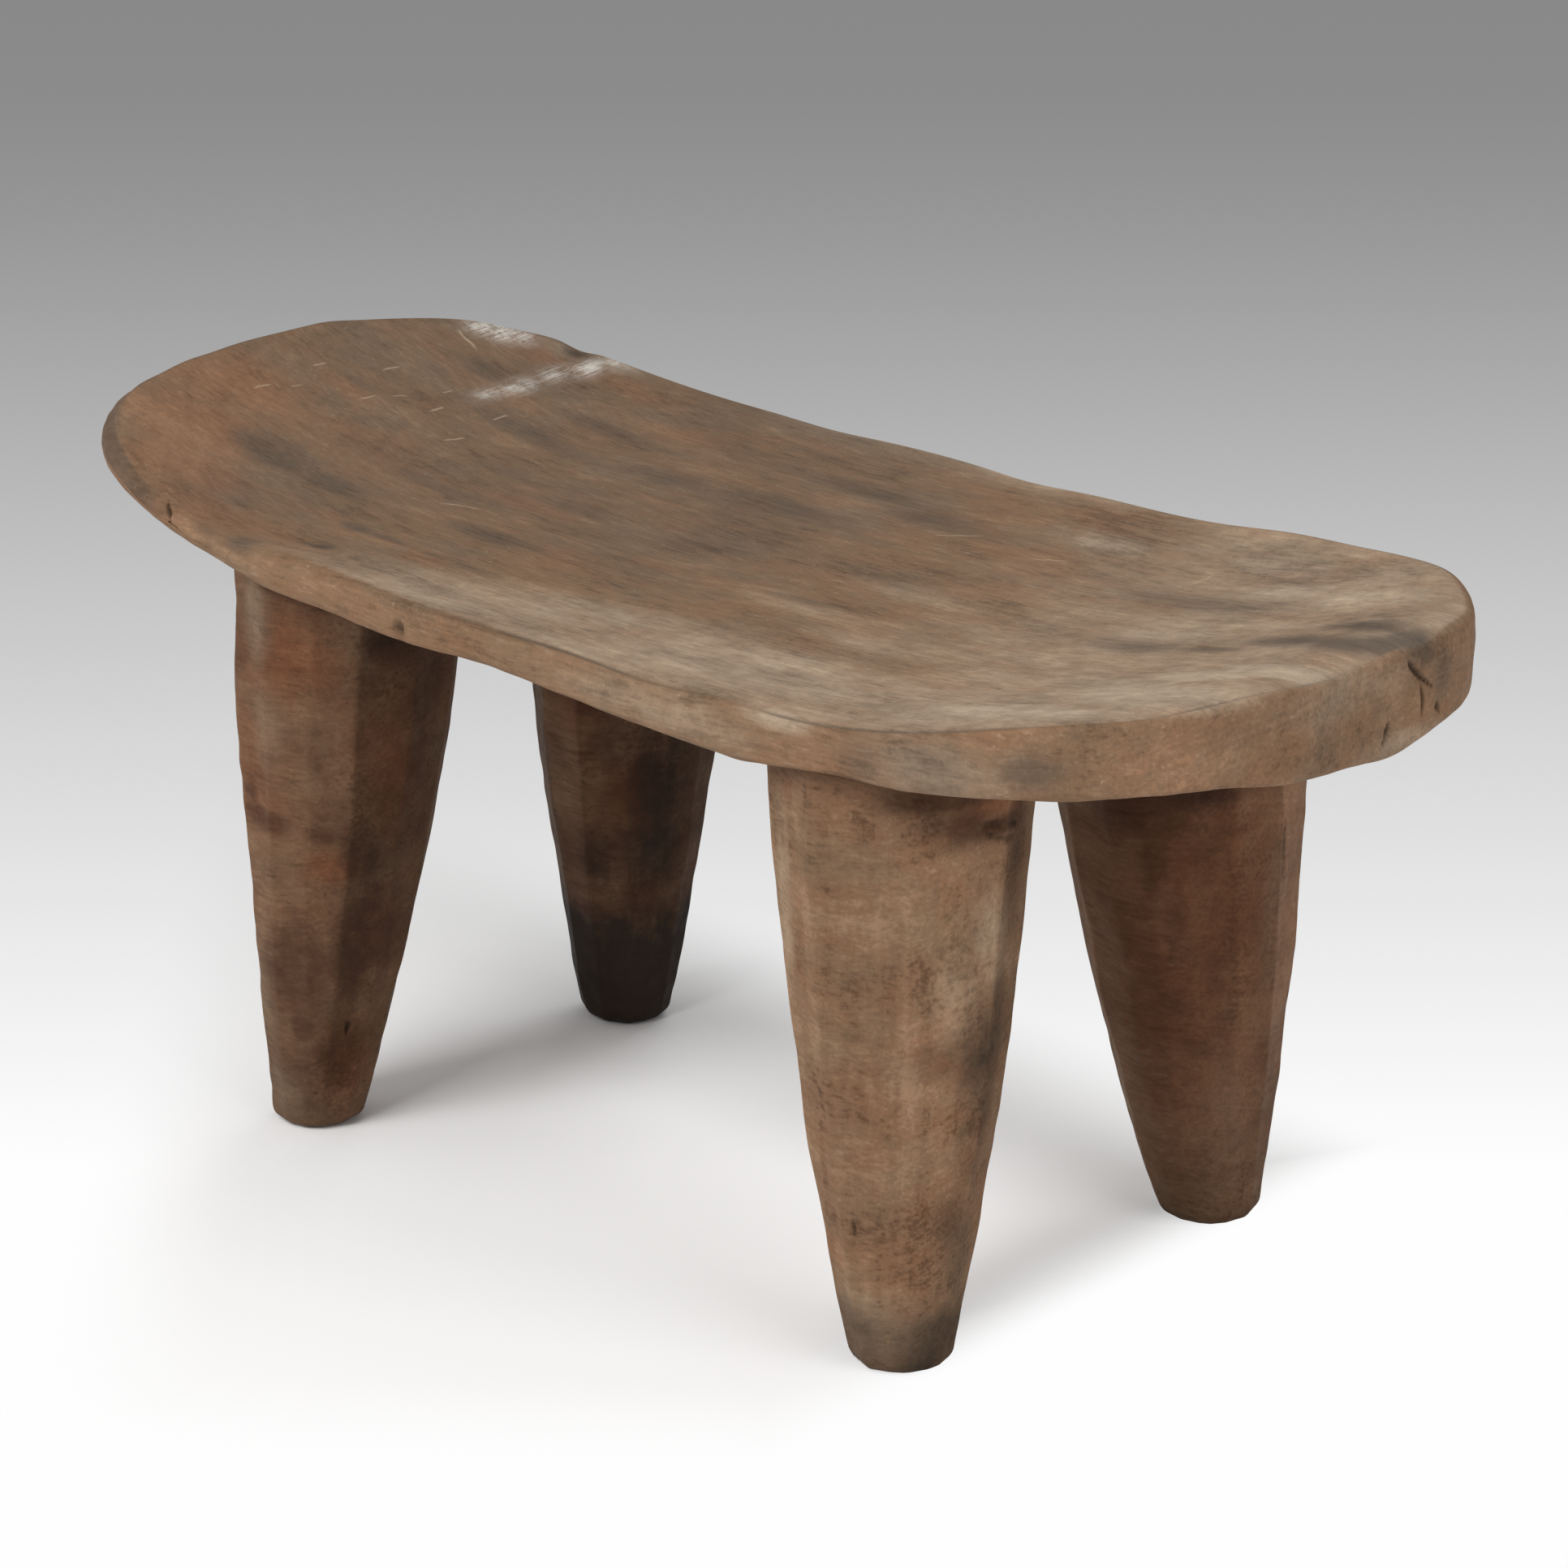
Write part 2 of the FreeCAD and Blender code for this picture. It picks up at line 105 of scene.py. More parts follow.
UNDER_SWELLS = [
    (-225, -156, 40, -3.2), (-165, -163, 40, -4), (-318, -98, 35, 2), (0, -171, 55, 4.5), (12, -170, 60, 2),
    (145, -166, 35, -3.5), (235, -157, 50, -4.5), (330, -80, 30, 3), (346, 30, 40, -3), (348, 55, 22, 3.5),
]

# Where the rim's outline stands out, and where its outer face leans out to its lower edge, in the same way.
RIM_BULGES = [
    (346, 55, 45, 4.5), (342, 85, 35, 2), (-305, -120, 42, 3.6),
]
RIM_FLARES = [
    (-342, -40, 45, 5),
]

# Marks on the seat's top: x, y, reach along the grain, reach across it, strength.
TOP_STAINS = [
    (-250, -69, 34, 22, 0.9), (-212, -70, 30, 15, 0.8), (-162, -102, 16, 8, 0.7), (-141, -101, 20, 6, 0.6),
    (-146, -136, 6, 6, 0.9), (-291, 21, 22, 12, 0.6), (-282, 65, 20, 12, 0.65), (-269, 88, 25, 14, 0.65),
    (-236, 35, 40, 14, 0.5), (-200, 55, 60, 14, 0.75), (-183, 90, 50, 12, 0.75), (-182, -29, 40, 12, 0.7),
    (-115, 0, 50, 14, 0.6), (-108, 62, 70, 20, 0.68), (-54, 68, 70, 20, 0.75), (-38, 110, 80, 15, 0.72),
    (23, 98, 60, 14, 0.65), (-29, 6, 50, 14, 0.6), (-115, -60, 45, 12, 0.7), (-84, -102, 35, 8, 0.45),
    (50, -27, 30, 7, 0.6), (200, 72, 60, 16, 0.5), (225, 2, 35, 12, 0.6), (262, 3, 20, 6, 0.8),
    (300, 18, 30, 12, 0.9), (326, 14, 22, 14, 0.95), (340, 20, 16, 14, 0.95), (318, 42, 26, 10, 0.85),
    (345, 36, 14, 14, 0.95),
]
TOP_WARMTH = [
    (-283, -88, 40, 34, 0.95), (-249, -119, 30, 20, 0.95), (-310, -40, 38, 34, 0.9),
    (-287, 11, 30, 10, 0.55), (-141, -15, 50, 10, 0.65), (-220, -144, 50, 14, 0.8),
    (-270, 124, 20, 10, 0.75), (-205, 133, 40, 10, 0.7), (-250, -20, 40, 12, 0.5), (-268, -126, 22, 22, 1),
    (-150, 110, 60, 8, 0.5),
]
TOP_PALENESS = [
    (223, -50, 50, 20, 0.45), (320, -34, 35, 18, 0.85), (338, -30, 20, 20, 0.85), (130, -61, 60, 25, 0.4),
    (295, -80, 50, 32, 0.9), (255, -118, 60, 22, 0.85), (99, 11, 60, 16, 0.4), (65, -34, 50, 14, 0.4),
    (-262, 138, 12, 10, 0.6), (-231, 150, 20, 10, 0.6), (285, 90, 60, 30, 0.7), (130, -100, 70, 30, 0.5),
    (234, 98, 40, 18, 0.7), (216, 126, 50, 20, 0.65), (300, -45, 45, 20, 0.75), (112, 118, 40, 14, 0.6),
]
SCUFFS = [
    (-302, 118, 7, 8, 0.7), (-295.5, 123.2, 11, 9, 1), (-284, 129, 9, 7, 0.6), (-249, 72, 5, 10, 0.45),
    (-247, 90, 6, 12, 0.7), (-245.5, 114, 6, 12, 0.45), (-240, 134, 7, 12, 0.65), (-234, 149, 8, 7, 0.6),
]
# Light scratches in the top: x, y, turn in degrees, half length, half width.
SCRATCHES = [
    (-306, -29, 88, 6, 0.9), (-311, 14, 84, 5, 0.8), (-276, 14, 80, 6, 0.9), (-293, 46, 86, 6, 0.9),
    (-251, 37, 82, 5, 0.9), (-227, 57, 88, 6, 0.9), (-221, 20, 72, 7, 1), (-296, 102, -13, 12, 1.2),
    (47, 88, 30, 14, 0.7), (103, 86, 24, 12, 0.7), (182, 101, 84, 10, 0.8), (-155, -40, 26, 12, 0.7),
    (-270, 30, 60, 5, 0.6), (-262, 55, 84, 4, 0.7), (-300, -12, 70, 4, 0.6),
]
# Marks on the rim's outer face: centre, reach and strength.
RIM_STAINS = [
    (206, -160, 304, 14, 20, 14, 0.55), (285, -142, 312, 22, 25, 14, 0.62),
    (-205, -159, 318, 14, 12, 6, 0.7), (-180, -158, 314, 14, 12, 5, 0.7), (353, 48, 322, 12, 10, 14, 0.52),
    (187, -160, 288, 6, 10, 4, 0.9), (240, -156, 306, 50, 30, 20, 0.42), (342, -76, 324, 14, 20, 10, 0.35),
    (351, 36, 335, 10, 14, 8, 0.62),
]
RIM_WEAR = [
    (162, -164, 312, 22, 14, 7, 0.7), (240, -156, 306, 50, 30, 20, 0.46), (349, -20, 330, 14, 60, 20, 0.42),
    (349, 25, 298, 10, 40, 8, 0.5), (349, -26, 324, 10, 22, 12, 0.35), (100, -168, 303, 70, 20, 14, 0.45),
    (332, -90, 341, 30, 40, 7, 0.6), (349, 60, 326, 10, 40, 16, 0.2),
]
# Splits in the wood, each a path and a half width, and small pits and chips: centre, reach and depth.
SEAT_SPLITS = [
    ([(350, 23, 338), (352, 27, 331), (353, 33, 325), (353.5, 42, 318)], 2.2),
    ([(353, 33, 323), (353, 35.5, 314), (353, 35, 307)], 1.4),
    ([(351.8, 13.5, 310), (351.6, 13, 304.5), (351.3, 11, 300)], 1.8),
    ([(353.5, 44.5, 311), (353.5, 45.5, 308.5), (353.3, 47, 306)], 2),
    ([(-237.4, -152.3, 321), (-234.5, -154.5, 319), (-231.7, -156, 316.5), (-230, -157, 314)], 1.8),
    ([(205, -78, 315), (221, -83, 316.5), (236, -84, 318)], 1.6),
    ([(248, 10, 320.5), (259, 7, 322.5), (272, 7, 325)], 1.6),
]
SEAT_CHIPS = [
    (-62, -170.5, 302, 3, 6, 4, 3), (-258, 143, 330, 8, 7, 7, 3),
]

# Marks on each leg: centre, reach and strength, and splits as paths with a half width.
LEG_MARKS = {
    "leg_front_left": {
        "stain": [
            # The spot 262 mm high is painted shade where the leg runs under the seat.
            (-125, -80, 200, 35, 50, 150, 0.7), (-125, -105, 262, 30, 30, 20, 0.9),
            (-146, -117, 215, 10, 16, 50, 0.6), (-152, -116, 156, 16, 22, 35, 0.75),
            (-162, -115, 98, 20, 22, 45, 0.85), (-173, -112, 45, 20, 24, 45, 0.8),
            (-193, -138, 168, 35, 30, 10, 0.85), (-164, -129, 165, 20, 20, 12, 0.7),
            (-205, -136, 178, 14, 18, 12, 0.75), (-184, -128, 58, 14, 16, 14, 0.75),
            (-184, -128, 96, 32, 30, 50, 0.84),
        ],
        "warm": [
            (-175, -138, 255, 35, 25, 30, 0.75), (-200, -138, 190, 35, 30, 40, 0.6),
            (-140, -105, 200, 14, 20, 40, 0.7), (-162, -124, 147, 18, 18, 12, 0.8),
            (-155, -105, 110, 14, 20, 30, 0.7), (-172, -108, 35, 12, 18, 35, 0.7),
        ],
        "pale": [
            (-192, -142, 272, 12, 14, 30, 0.8), (-187, -141, 215, 14, 16, 35, 0.5),
            (-212, -128, 70, 10, 14, 40, 0.6), (-204, -126, 22, 18, 14, 20, 0.6),
        ],
        "grime": [
            # The spot 264 mm high is painted shade under the seat.
            (-157, -108, 115, 18, 24, 70, 0.46), (-135, -108, 264, 30, 30, 10, 0.45),
        ],
        "splits": [
            ([(-171, -112, 66), (-169, -110, 60), (-170, -111, 54)], 2),
        ],
    },
    "leg_front_right": {
        "stain": [
            (224, -118, 266, 20, 22, 12, 0.8), (220, -121, 157, 20, 20, 14, 0.5),
            (218, -112, 78, 10, 14, 22, 0.5), (226, -116, 266, 14, 16, 6, 0.85),
            # The spot 280 mm high is painted shade under the seat.
            (228, -95, 262, 10, 25, 7, 0.9), (220, -122, 280, 30, 30, 10, 0.95),
            (228, -82, 246, 8, 12, 40, 0.7),
        ],
        "warm": [
            (203, -138, 123, 20, 20, 30, 0.25), (205, -130, 60, 20, 20, 14, 0.35),
            (226, -95, 272, 14, 30, 10, 0.6),
        ],
        "pale": [
            (190, -130, 150, 80, 60, 200, 0.14), (193, -131, 22, 30, 25, 26, 0.55),
            (227, -99, 213, 10, 14, 30, 0.55), (225, -116, 187, 12, 16, 25, 0.5),
            (150, -146, 222, 10, 12, 50, 0.65),
        ],
        "grime": [
            (224.5, -98.5, 157, 12, 18, 28, 0.74), (225, -92, 176, 10, 10, 20, 0.5),
            (223, -98, 130, 10, 14, 24, 0.55), (191, -132, 25, 14, 12, 12, 0.55),
            (206, -124, 26, 14, 12, 10, 0.5), (221, -104, 105, 8, 10, 14, 0.4),
            (215, -103, 57, 10, 12, 25, 0.45), (184, -143, 104, 18, 20, 25, 0.25),
        ],
        "splits": [
            ([(225.6, -116.4, 266.5), (229, -99.5, 263.8), (228.5, -78, 259)], 2.4),
            ([(230, -104, 260), (230, -92, 255), (229, -84, 254)], 1.8),
            ([(228, -96.2, 240), (227.8, -95.5, 227), (227.3, -95, 214)], 1.8),
            ([(186.5, -140, 81), (186.8, -139.8, 75), (187, -139.5, 69)], 1.4),
        ],
    },
    "leg_rear_left": {
        "stain": [
            (-138, 70, 140, 18, 22, 60, 0.95), (-150, 75, 80, 20, 22, 30, 0.9),
            (-135, 85, 200, 20, 30, 50, 0.95), (-155, 50, 190, 30, 30, 25, 0.8),
        ],
        "warm": [
            (-165, 50, 200, 20, 24, 60, 0.7), (-143, 62, 140, 14, 16, 22, 0.8),
        ],
        "pale": [
            (-171, 46, 163, 8, 10, 20, 0.35),
        ],
        "grime": [
            (-134, 74, 150, 18, 22, 90, 0.6), (-141, 76, 105, 16, 20, 30, 0.68),
            (-163, 60, 98, 14, 16, 24, 0.52), (-146, 55, 168, 16, 20, 16, 0.5),
        ],
        "splits": [],
    },
    "leg_rear_right": {
        "stain": [
            # Both spots on this line are painted shade where the leg runs under the seat.
            (192, 46, 220, 40, 30, 30, 0.8), (206, 52, 234, 60, 60, 18, 0.95),
            (206, 58, 168, 16, 16, 35, 0.65), (208, 71, 100, 22, 20, 14, 0.6),
            (199, 48, 200, 16, 16, 50, 0.7), (219, 73, 139, 14, 16, 40, 0.55),
            (204, 64, 124, 20, 20, 18, 0.6),
        ],
        "warm": [
            (210, 70, 170, 60, 60, 140, 0.7), (225, 74, 200, 14, 16, 40, 0.85),
            (231, 100, 163, 12, 14, 50, 0.6), (217, 85, 80, 20, 20, 40, 1), (212, 59, 197, 12, 14, 25, 0.7),
        ],
        "pale": [
            (231, 100, 170, 10, 12, 60, 0.4), (221, 98, 70, 12, 14, 20, 0.3),
            (214, 88, 70, 20, 20, 50, 0.45), (165, 80, 70, 14, 20, 50, 0.5),
        ],
        "grime": [
            # This is painted shade under the seat.
            (206, 52, 236, 60, 60, 12, 0.45),
        ],
        "splits": [
            ([(233.5, 101, 214), (232.5, 102, 195), (231, 104, 175)], 1.8),
        ],
    },
}

# Mesh spacing and edge roundings of the seat.
HALF_COLUMNS = 400
TOP_RINGS = 50
CREST_RINGS = 8
WALL_RINGS = 20
LOWER_RINGS = 6
BELLY_RINGS = 20
CREST_SOFT = 0.0075
CREST_PLAIN = 0.0062
CREST_CRISP = 0.0030
LOWER_ROUNDING = 0.004
WALL_BULGE = 0.0005
# The middle line's share of the seat's length, and how the rings crowd to the edge.
SPINE_SHARE = 0.58
RING_CROWDING = 1.15
# Steps for measuring the edge, and how much finer its columns are at splits.
EDGE_STEPS = 6001
FINER = 3
# Depths of splits and of the crease inside the rim.
SEAT_SPLIT_DEPTH = 0.0025
LEG_SPLIT_DEPTH = 0.0018
GROOVE_DEPTH = 0.0008
# Places on the rim where splits need finer columns: x, distance from the long axis, reach.
FINE_PLACES = [(0.349, 0.034, 0.028), (-0.233, 0.155, 0.012)]


def smooth(low, high, value):
    """Rises smoothly from 0 to 1 as the value goes from low to high."""
    share = np.clip((value - low) / (high - low), 0, 1)
    return share * share * (3 - 2 * share)


def waves(points, length, seed, stretch=(1, 1, 1), count=24):
    """A smooth random field of about -1 to 1 whose humps have the given length."""
    rng = np.random.default_rng(seed)
    directions = rng.normal(size=(count, 3))
    directions /= np.linalg.norm(directions, axis=1)[:, None]
    lengths = length * rng.uniform(0.7, 1.4, count)
    phases = rng.uniform(0, 2 * np.pi, count)
    turns = (points / np.array(stretch)) @ (directions * (2 * np.pi / lengths)[:, None]).T
    return np.sin(turns + phases).sum(1) / math.sqrt(count)


def swell(points, swells):
    """Height that the listed swells and hollows add at points on plan."""
    total = np.zeros(len(points))
    for row in swells:
        x, y, reach, height = np.array(row) / 1000
        away = (points[:, 0] - x) ** 2 + (points[:, 1] - y) ** 2
        total += height * np.exp(-away / reach ** 2)
    return total


def spots(points, listed):
    """Strength of soft ellipsoid spots: centre and three reaches in millimetres, and a strength."""
    total = np.zeros(len(points))
    for *place, strength in listed:
        centre, reach = np.array(place).reshape(2, 3) / 1000
        away = (((points - centre) / reach) ** 2).sum(1)
        total = np.maximum(total, strength * np.exp(-away))
    return total


def top_spots(points, listed):
    """Strength of soft spots on the seat's top, whatever its height there."""
    centred = [(x, y, 0, along, across, 1, strength) for x, y, along, across, strength in listed]
    return spots(points * (1, 1, 0), centred)


def lumps(points, listed):
    """Height of soft swells or depth of chips, listed as spots with a size in millimetres last."""
    return spots(points, [(*place, size / 1000) for *place, size in listed])


def line_mask(points, path, width):
    """How far inside a line of the given half width points are, 1 on it, thinning to its ends."""
    best = np.zeros(len(points))
    for number in range(len(path) - 1):
        start, run = path[number], path[number + 1] - path[number]
        share = np.clip((points - start) @ run / (run @ run), 0, 1)
        along = (number + share) / (len(path) - 1)
        taper = width * np.clip(4 * along * (1 - along), 0.3, 1)
        away = np.linalg.norm(points - start - share[:, None] * run, axis=1)
        best = np.maximum(best, np.clip(1 - away / taper, 0, 1))
    return best


def split_mask(points, splits):
    """All the listed splits in one mask."""
    total = np.zeros(len(points))
    for path, width in splits:
        total = np.maximum(total, line_mask(points, np.array(path) / 1000, width / 1000))
    return total


def most(*fields):
    """The largest of several fields at each point."""
    return np.maximum.reduce(fields)


def corner_centre(side, end):
    """Centre of the corner arc that lies inside both the side arc and the end arc."""
    reach_side = SIDE_RADIUS - CORNER_RADIUS
    reach_end = END_RADIUS - CORNER_RADIUS
    span = np.linalg.norm(end - side)
    along = (reach_side ** 2 - reach_end ** 2 + span ** 2) / (2 * span)
    across = math.sqrt(reach_side ** 2 - along ** 2)
    direction = (end - side) / span
    return side + direction * along + np.array([direction[1], -direction[0]]) * across


def outline(angles):
    """Points of the seat's edge on plan, and their outward normals, by the normals' angles."""
    side = np.array([0, HALF_WIDTH - SIDE_RADIUS])
    end = np.array([HALF_LENGTH - END_RADIUS, 0])
    corner = corner_centre(side, end)
    end_stop = math.atan2(*(corner - end)[::-1])
    side_start = math.atan2(*(corner - side)[::-1])
    normals = np.stack([np.cos(angles), np.sin(angles)], 1)
    folded = np.abs(normals)
    turn = np.arctan2(folded[:, 1], folded[:, 0])
    at_end, at_side = turn < end_stop, turn > side_start
    centres = np.where(at_end[:, None], end, np.where(at_side[:, None], side, corner))
    radii = np.where(at_end, END_RADIUS, np.where(at_side, SIDE_RADIUS, CORNER_RADIUS))
    return (centres + radii[:, None] * folded) * np.where(normals < 0, -1, 1), normals


def column_angles():
    """Normal angles of the seat's columns: even steps along the edge, finer where it is split."""
    dense = np.linspace(0, np.pi, EDGE_STEPS)
    points, _ = outline(dense)
    steps = np.linalg.norm(np.diff(points, axis=0), axis=1)
    length = np.concatenate([[0], np.cumsum(steps)])
    want = np.ones(len(dense))
    for x, y, reach in FINE_PLACES:
        place = length[np.argmin(np.hypot(points[:, 0] - x, points[:, 1] - y))]
        want += FINER * np.exp(-((length - place) / reach) ** 2)
    count = np.concatenate([[0], np.cumsum(steps * (want[1:] + want[:-1]) / 2)])
    upper = np.interp(np.linspace(0, count[-1], HALF_COLUMNS + 1), count, dense)
    return np.concatenate([upper, -upper[-2:0:-1]])


def dish_height(x, y):
    """Height of the seat's top: almost flat in the middle, lifted at both ends and both sides."""
    half_flat = DISH_FLAT_LENGTH / 2
    run = HALF_LENGTH - half_flat
    joint = half_flat ** 2 / (2 * DISH_FLAT_RADIUS)
    slope = half_flat / DISH_FLAT_RADIUS
    rise = np.where(x > 0, RIGHT_END_RISE, LEFT_END_RISE)
    lift = (DISH_DEPTH + rise - joint - slope * run) / run ** 2
    past = np.clip(np.abs(x) - half_flat, 0, None)
    ends = joint + slope * past + lift * past ** 2
    long_curve = np.where(np.abs(x) < half_flat, x ** 2 / (2 * DISH_FLAT_RADIUS), ends)
    return RIM_HEIGHT - DISH_DEPTH + long_curve + DISH_DEPTH * (y / HALF_WIDTH) ** 2


def belly_height(x, y):
    """Height of the seat's underside, a shallow belly that curves up to both ends."""
    long_curve = UNDERSIDE_RADIUS - np.sqrt(UNDERSIDE_RADIUS ** 2 - (x - UNDERSIDE_SHIFT) ** 2)
    return RIM_HEIGHT - RIM_THICKNESS + long_curve - BELLY_DROP * (1 - (y / HALF_WIDTH) ** 2)


def rim_rings(edge, normals, profile, top, bottom):
    """Rings from the crest's inner edge, over it, down the wall and round under it."""
    rounding, bevel, flare = profile
    rings = []

    def add(inset, height):
        lean = flare * np.clip((top - height) / (top - bottom), 0, 1)
        rings.append(np.column_stack([edge - normals * (inset - lean)[:, None], height]))

    for number in range(CREST_RINGS):
        share = number / CREST_RINGS
        turn = math.pi / 2 * share
        inset = 1 - math.sin(turn) + bevel * (math.sin(turn) - share)
        drop = 1 - math.cos(turn) + bevel * (share - 1 + math.cos(turn))
        add(WALL_BULGE + rounding * inset, top - rounding * drop)
    high, low = top - rounding, bottom + LOWER_ROUNDING
    for number in range(WALL_RINGS):
        share = number / WALL_RINGS
        add(WALL_BULGE * (1 - math.sin(math.pi * share)), high + (low - high) * share)
    for number in range(LOWER_RINGS + 1):
        turn = math.pi / 2 * number / LOWER_RINGS
        inset = WALL_BULGE + LOWER_ROUNDING * (1 - math.cos(turn))
        add(inset, bottom + LOWER_ROUNDING * (1 - math.sin(turn)))
    return rings


def inner_rings(border, count, height, lumps):
    """Rings that shrink from a border to the long axis, at the height that a function gives."""
    rings = []
    spine = np.column_stack([border[:, 0] * SPINE_SHARE, np.zeros(len(border))])
    for number in range(1, count):
        share = 1 - (number / count) ** RING_CROWDING
        plan = spine + (border - spine) * share
        z = height(plan[:, 0], plan[:, 1]) + lumps * share ** 8
        rings.append(np.column_stack([plan, z]))
    middle = spine[:HALF_COLUMNS + 1]
    return rings, np.column_stack([middle, height(middle[:, 0], middle[:, 1])])


def ring_bands():
    """A number for each ring, 0 to 1 over the dish, then 1 for each of crest, wall, lower edge and belly."""
    counts = (TOP_RINGS, CREST_RINGS, WALL_RINGS, LOWER_RINGS, BELLY_RINGS)
    steps = [start + np.arange(count) / count for start, count in enumerate(counts)]
    return np.concatenate(steps)[1:]


def seat_faces(columns, rings, first):
    """Quads between neighbouring rings, and from the first and last ring to the two spines."""
    last = first + columns * rings
    column = np.arange(columns)
    following = (column + 1) % columns
    folded = np.minimum(column, columns - column)
    folded_following = np.minimum(following, columns - following)
    faces = [np.stack([folded, first + column, first + following, folded_following], 1)]
    for number in range(rings - 1):
        upper, lower = first + columns * number, first + columns * (number + 1)
        faces.append(np.stack([upper + column, lower + column, lower + following, upper + following], 1))
    outer = last - columns
    faces.append(np.stack([outer + column, last + folded, last + folded_following, outer + following], 1))
    return np.concatenate(faces)


def seat_mesh():
    """The seat as one closed shell of rings over the dish, the rim and the belly, and each point's band."""
    angles = column_angles()
    edge, normals = outline(angles)
    edge = edge + normals * swell(edge, RIM_BULGES)[:, None]
    x, y = edge.T
    near = smooth(0.06, -0.04, y)
    left = smooth(0.12, 0.04, y)
    worn = np.maximum(0.9 * near * smooth(-0.02, -0.16, x), left * smooth(-0.26, -0.33, x))
    rounding = CREST_PLAIN + (CREST_CRISP - CREST_PLAIN) * near
    rounding += (CREST_SOFT - rounding) * worn
    bevel = left * smooth(-0.26, -0.31, x)
    crest_border = edge - normals * (rounding + WALL_BULGE)[:, None]
    flare = swell(edge, RIM_FLARES)
    lower_border = edge - normals * (LOWER_ROUNDING + WALL_BULGE - flare)[:, None]
    crest_lumps, lower_lumps = swell(edge, CREST_SWELLS), swell(edge, UNDER_SWELLS)
    top = dish_height(crest_border[:, 0], crest_border[:, 1]) + crest_lumps
    bottom = belly_height(lower_border[:, 0], lower_border[:, 1]) + lower_lumps
    dish, dish_spine = inner_rings(crest_border, TOP_RINGS, dish_height, crest_lumps)
    belly, belly_spine = inner_rings(lower_border, BELLY_RINGS, belly_height, lower_lumps)
    rings = dish[::-1] + rim_rings(edge, normals, (rounding, bevel, flare), top, bottom) + belly
    points = np.concatenate([dish_spine, *rings, belly_spine])
    around = np.repeat(ring_bands(), len(angles))
    bands = np.concatenate([np.zeros(len(dish_spine)), around, np.full(len(belly_spine), 5.0)])
    return points, seat_faces(len(angles), len(rings), len(dish_spine)), bands


def plain_mesh(name, points, faces):
    """A mesh of quads, with the doubled corners of its few triangles dropped."""
    mesh = bpy.data.meshes.new(name)
    rows = [list(dict.fromkeys(face)) for face in faces.tolist()]
    mesh.from_pydata(points.tolist(), [], [row for row in rows if len(row) > 2])
    mesh.update()
    return mesh


def read_points(mesh):
    points = np.empty(len(mesh.vertices) * 3, np.float32)
    mesh.vertices.foreach_get("co", points)
    return points.reshape(-1, 3).astype(float)


def read_normals(mesh):
    normals = np.empty(len(mesh.vertices) * 3, np.float32)
    mesh.vertex_normals.foreach_get("vector", normals)
    return normals.reshape(-1, 3).astype(float)


def write_points(mesh, points):
    mesh.vertices.foreach_set("co", points.astype(np.float32).ravel())
    mesh.update()


def write_masks(mesh, masks):
    """Keeps masks of 0 to 1 on the mesh's points for the materials to read."""
    for name, values in masks.items():
        attribute = mesh.attributes.new(name, "FLOAT", "POINT")
        attribute.data.foreach_set("value", np.clip(values, 0, 1).astype(np.float32))


class Graph:
    """Adds nodes to one tree. An input is a plain value, or an output socket to link from."""

    def __init__(self, tree):
        self.tree = tree

    def add(self, kind, inputs=(), **settings):
        node = self.tree.nodes.new(kind)
        for name, value in settings.items():
            setattr(node, name, value)
        for key, value in inputs.items() if isinstance(inputs, dict) else enumerate(inputs):
            self.feed(node.inputs[key], value)
        return node

    def feed(self, socket, value):
        if isinstance(value, bpy.types.NodeSocket):
            self.tree.links.new(value, socket)
        elif value is not None:
            socket.default_value = value

    def math(self, operation, *values, clamp=False):
        return self.add("ShaderNodeMath", values, operation=operation, use_clamp=clamp).outputs[0]

    def plus(self, first, second):
        return self.math("ADD", first, second)

    def minus(self, first, second, clamp=False):
        return self.math("SUBTRACT", first, second, clamp=clamp)

    def times(self, first, second):
        return self.math("MULTIPLY", first, second)

    def over(self, first, second):
        return self.math("DIVIDE", first, second)

    def stretch(self, vector, factors):
        return self.vector("MULTIPLY", vector, factors)

    def total(self, start, *terms):
        """The start value plus each term's value times its weight, where the value's middle is 0.5."""
        for value, weight in terms:
            start = self.plus(start, self.times(self.minus(value, 0.5), weight))
        return start

    def vector(self, operation, *values):
        return self.add("ShaderNodeVectorMath", values, operation=operation).outputs[0]

    def split(self, vector):
        return self.add("ShaderNodeSeparateXYZ", [vector]).outputs

    def join(self, x, y, z):
        return self.add("ShaderNodeCombineXYZ", [x, y, z]).outputs[0]

    def ease(self, value, low, high, to_low=0.0, to_high=1.0):
        node = self.add("ShaderNodeMapRange", interpolation_type="SMOOTHSTEP")
        for key, given in enumerate((value, low, high, to_low, to_high)):
            self.feed(node.inputs[key], given)
        return node.outputs[0]

    def noise(self, vector, scale, detail=3.0, roughness=0.5):
        inputs = {"Vector": vector, "Scale": scale, "Detail": detail, "Roughness": roughness}
        return self.add("ShaderNodeTexNoise", inputs).outputs

    def grain(self, vector, stretch, scale, detail=3.0):
        """Noise drawn out along the grain by the given stretch."""
        return self.noise(self.stretch(vector, (1 / stretch, 1, 1)), scale, detail)[0]

    def mix(self, share, first, second, blend="MIX"):
        node = self.add("ShaderNodeMix", data_type="RGBA", blend_type=blend)
        for key, given in ((0, share), (6, first), (7, second)):
            self.feed(node.inputs[key], given)
        return node.outputs[2]

    def mask(self, name):
        return self.add("ShaderNodeAttribute", attribute_name=name).outputs["Fac"]

    def group(self, tree, **inputs):
        node = self.add("ShaderNodeGroup", node_tree=tree)
        for name, value in inputs.items():
            self.feed(node.inputs[name.replace("_", " ")], value)
        return node.outputs


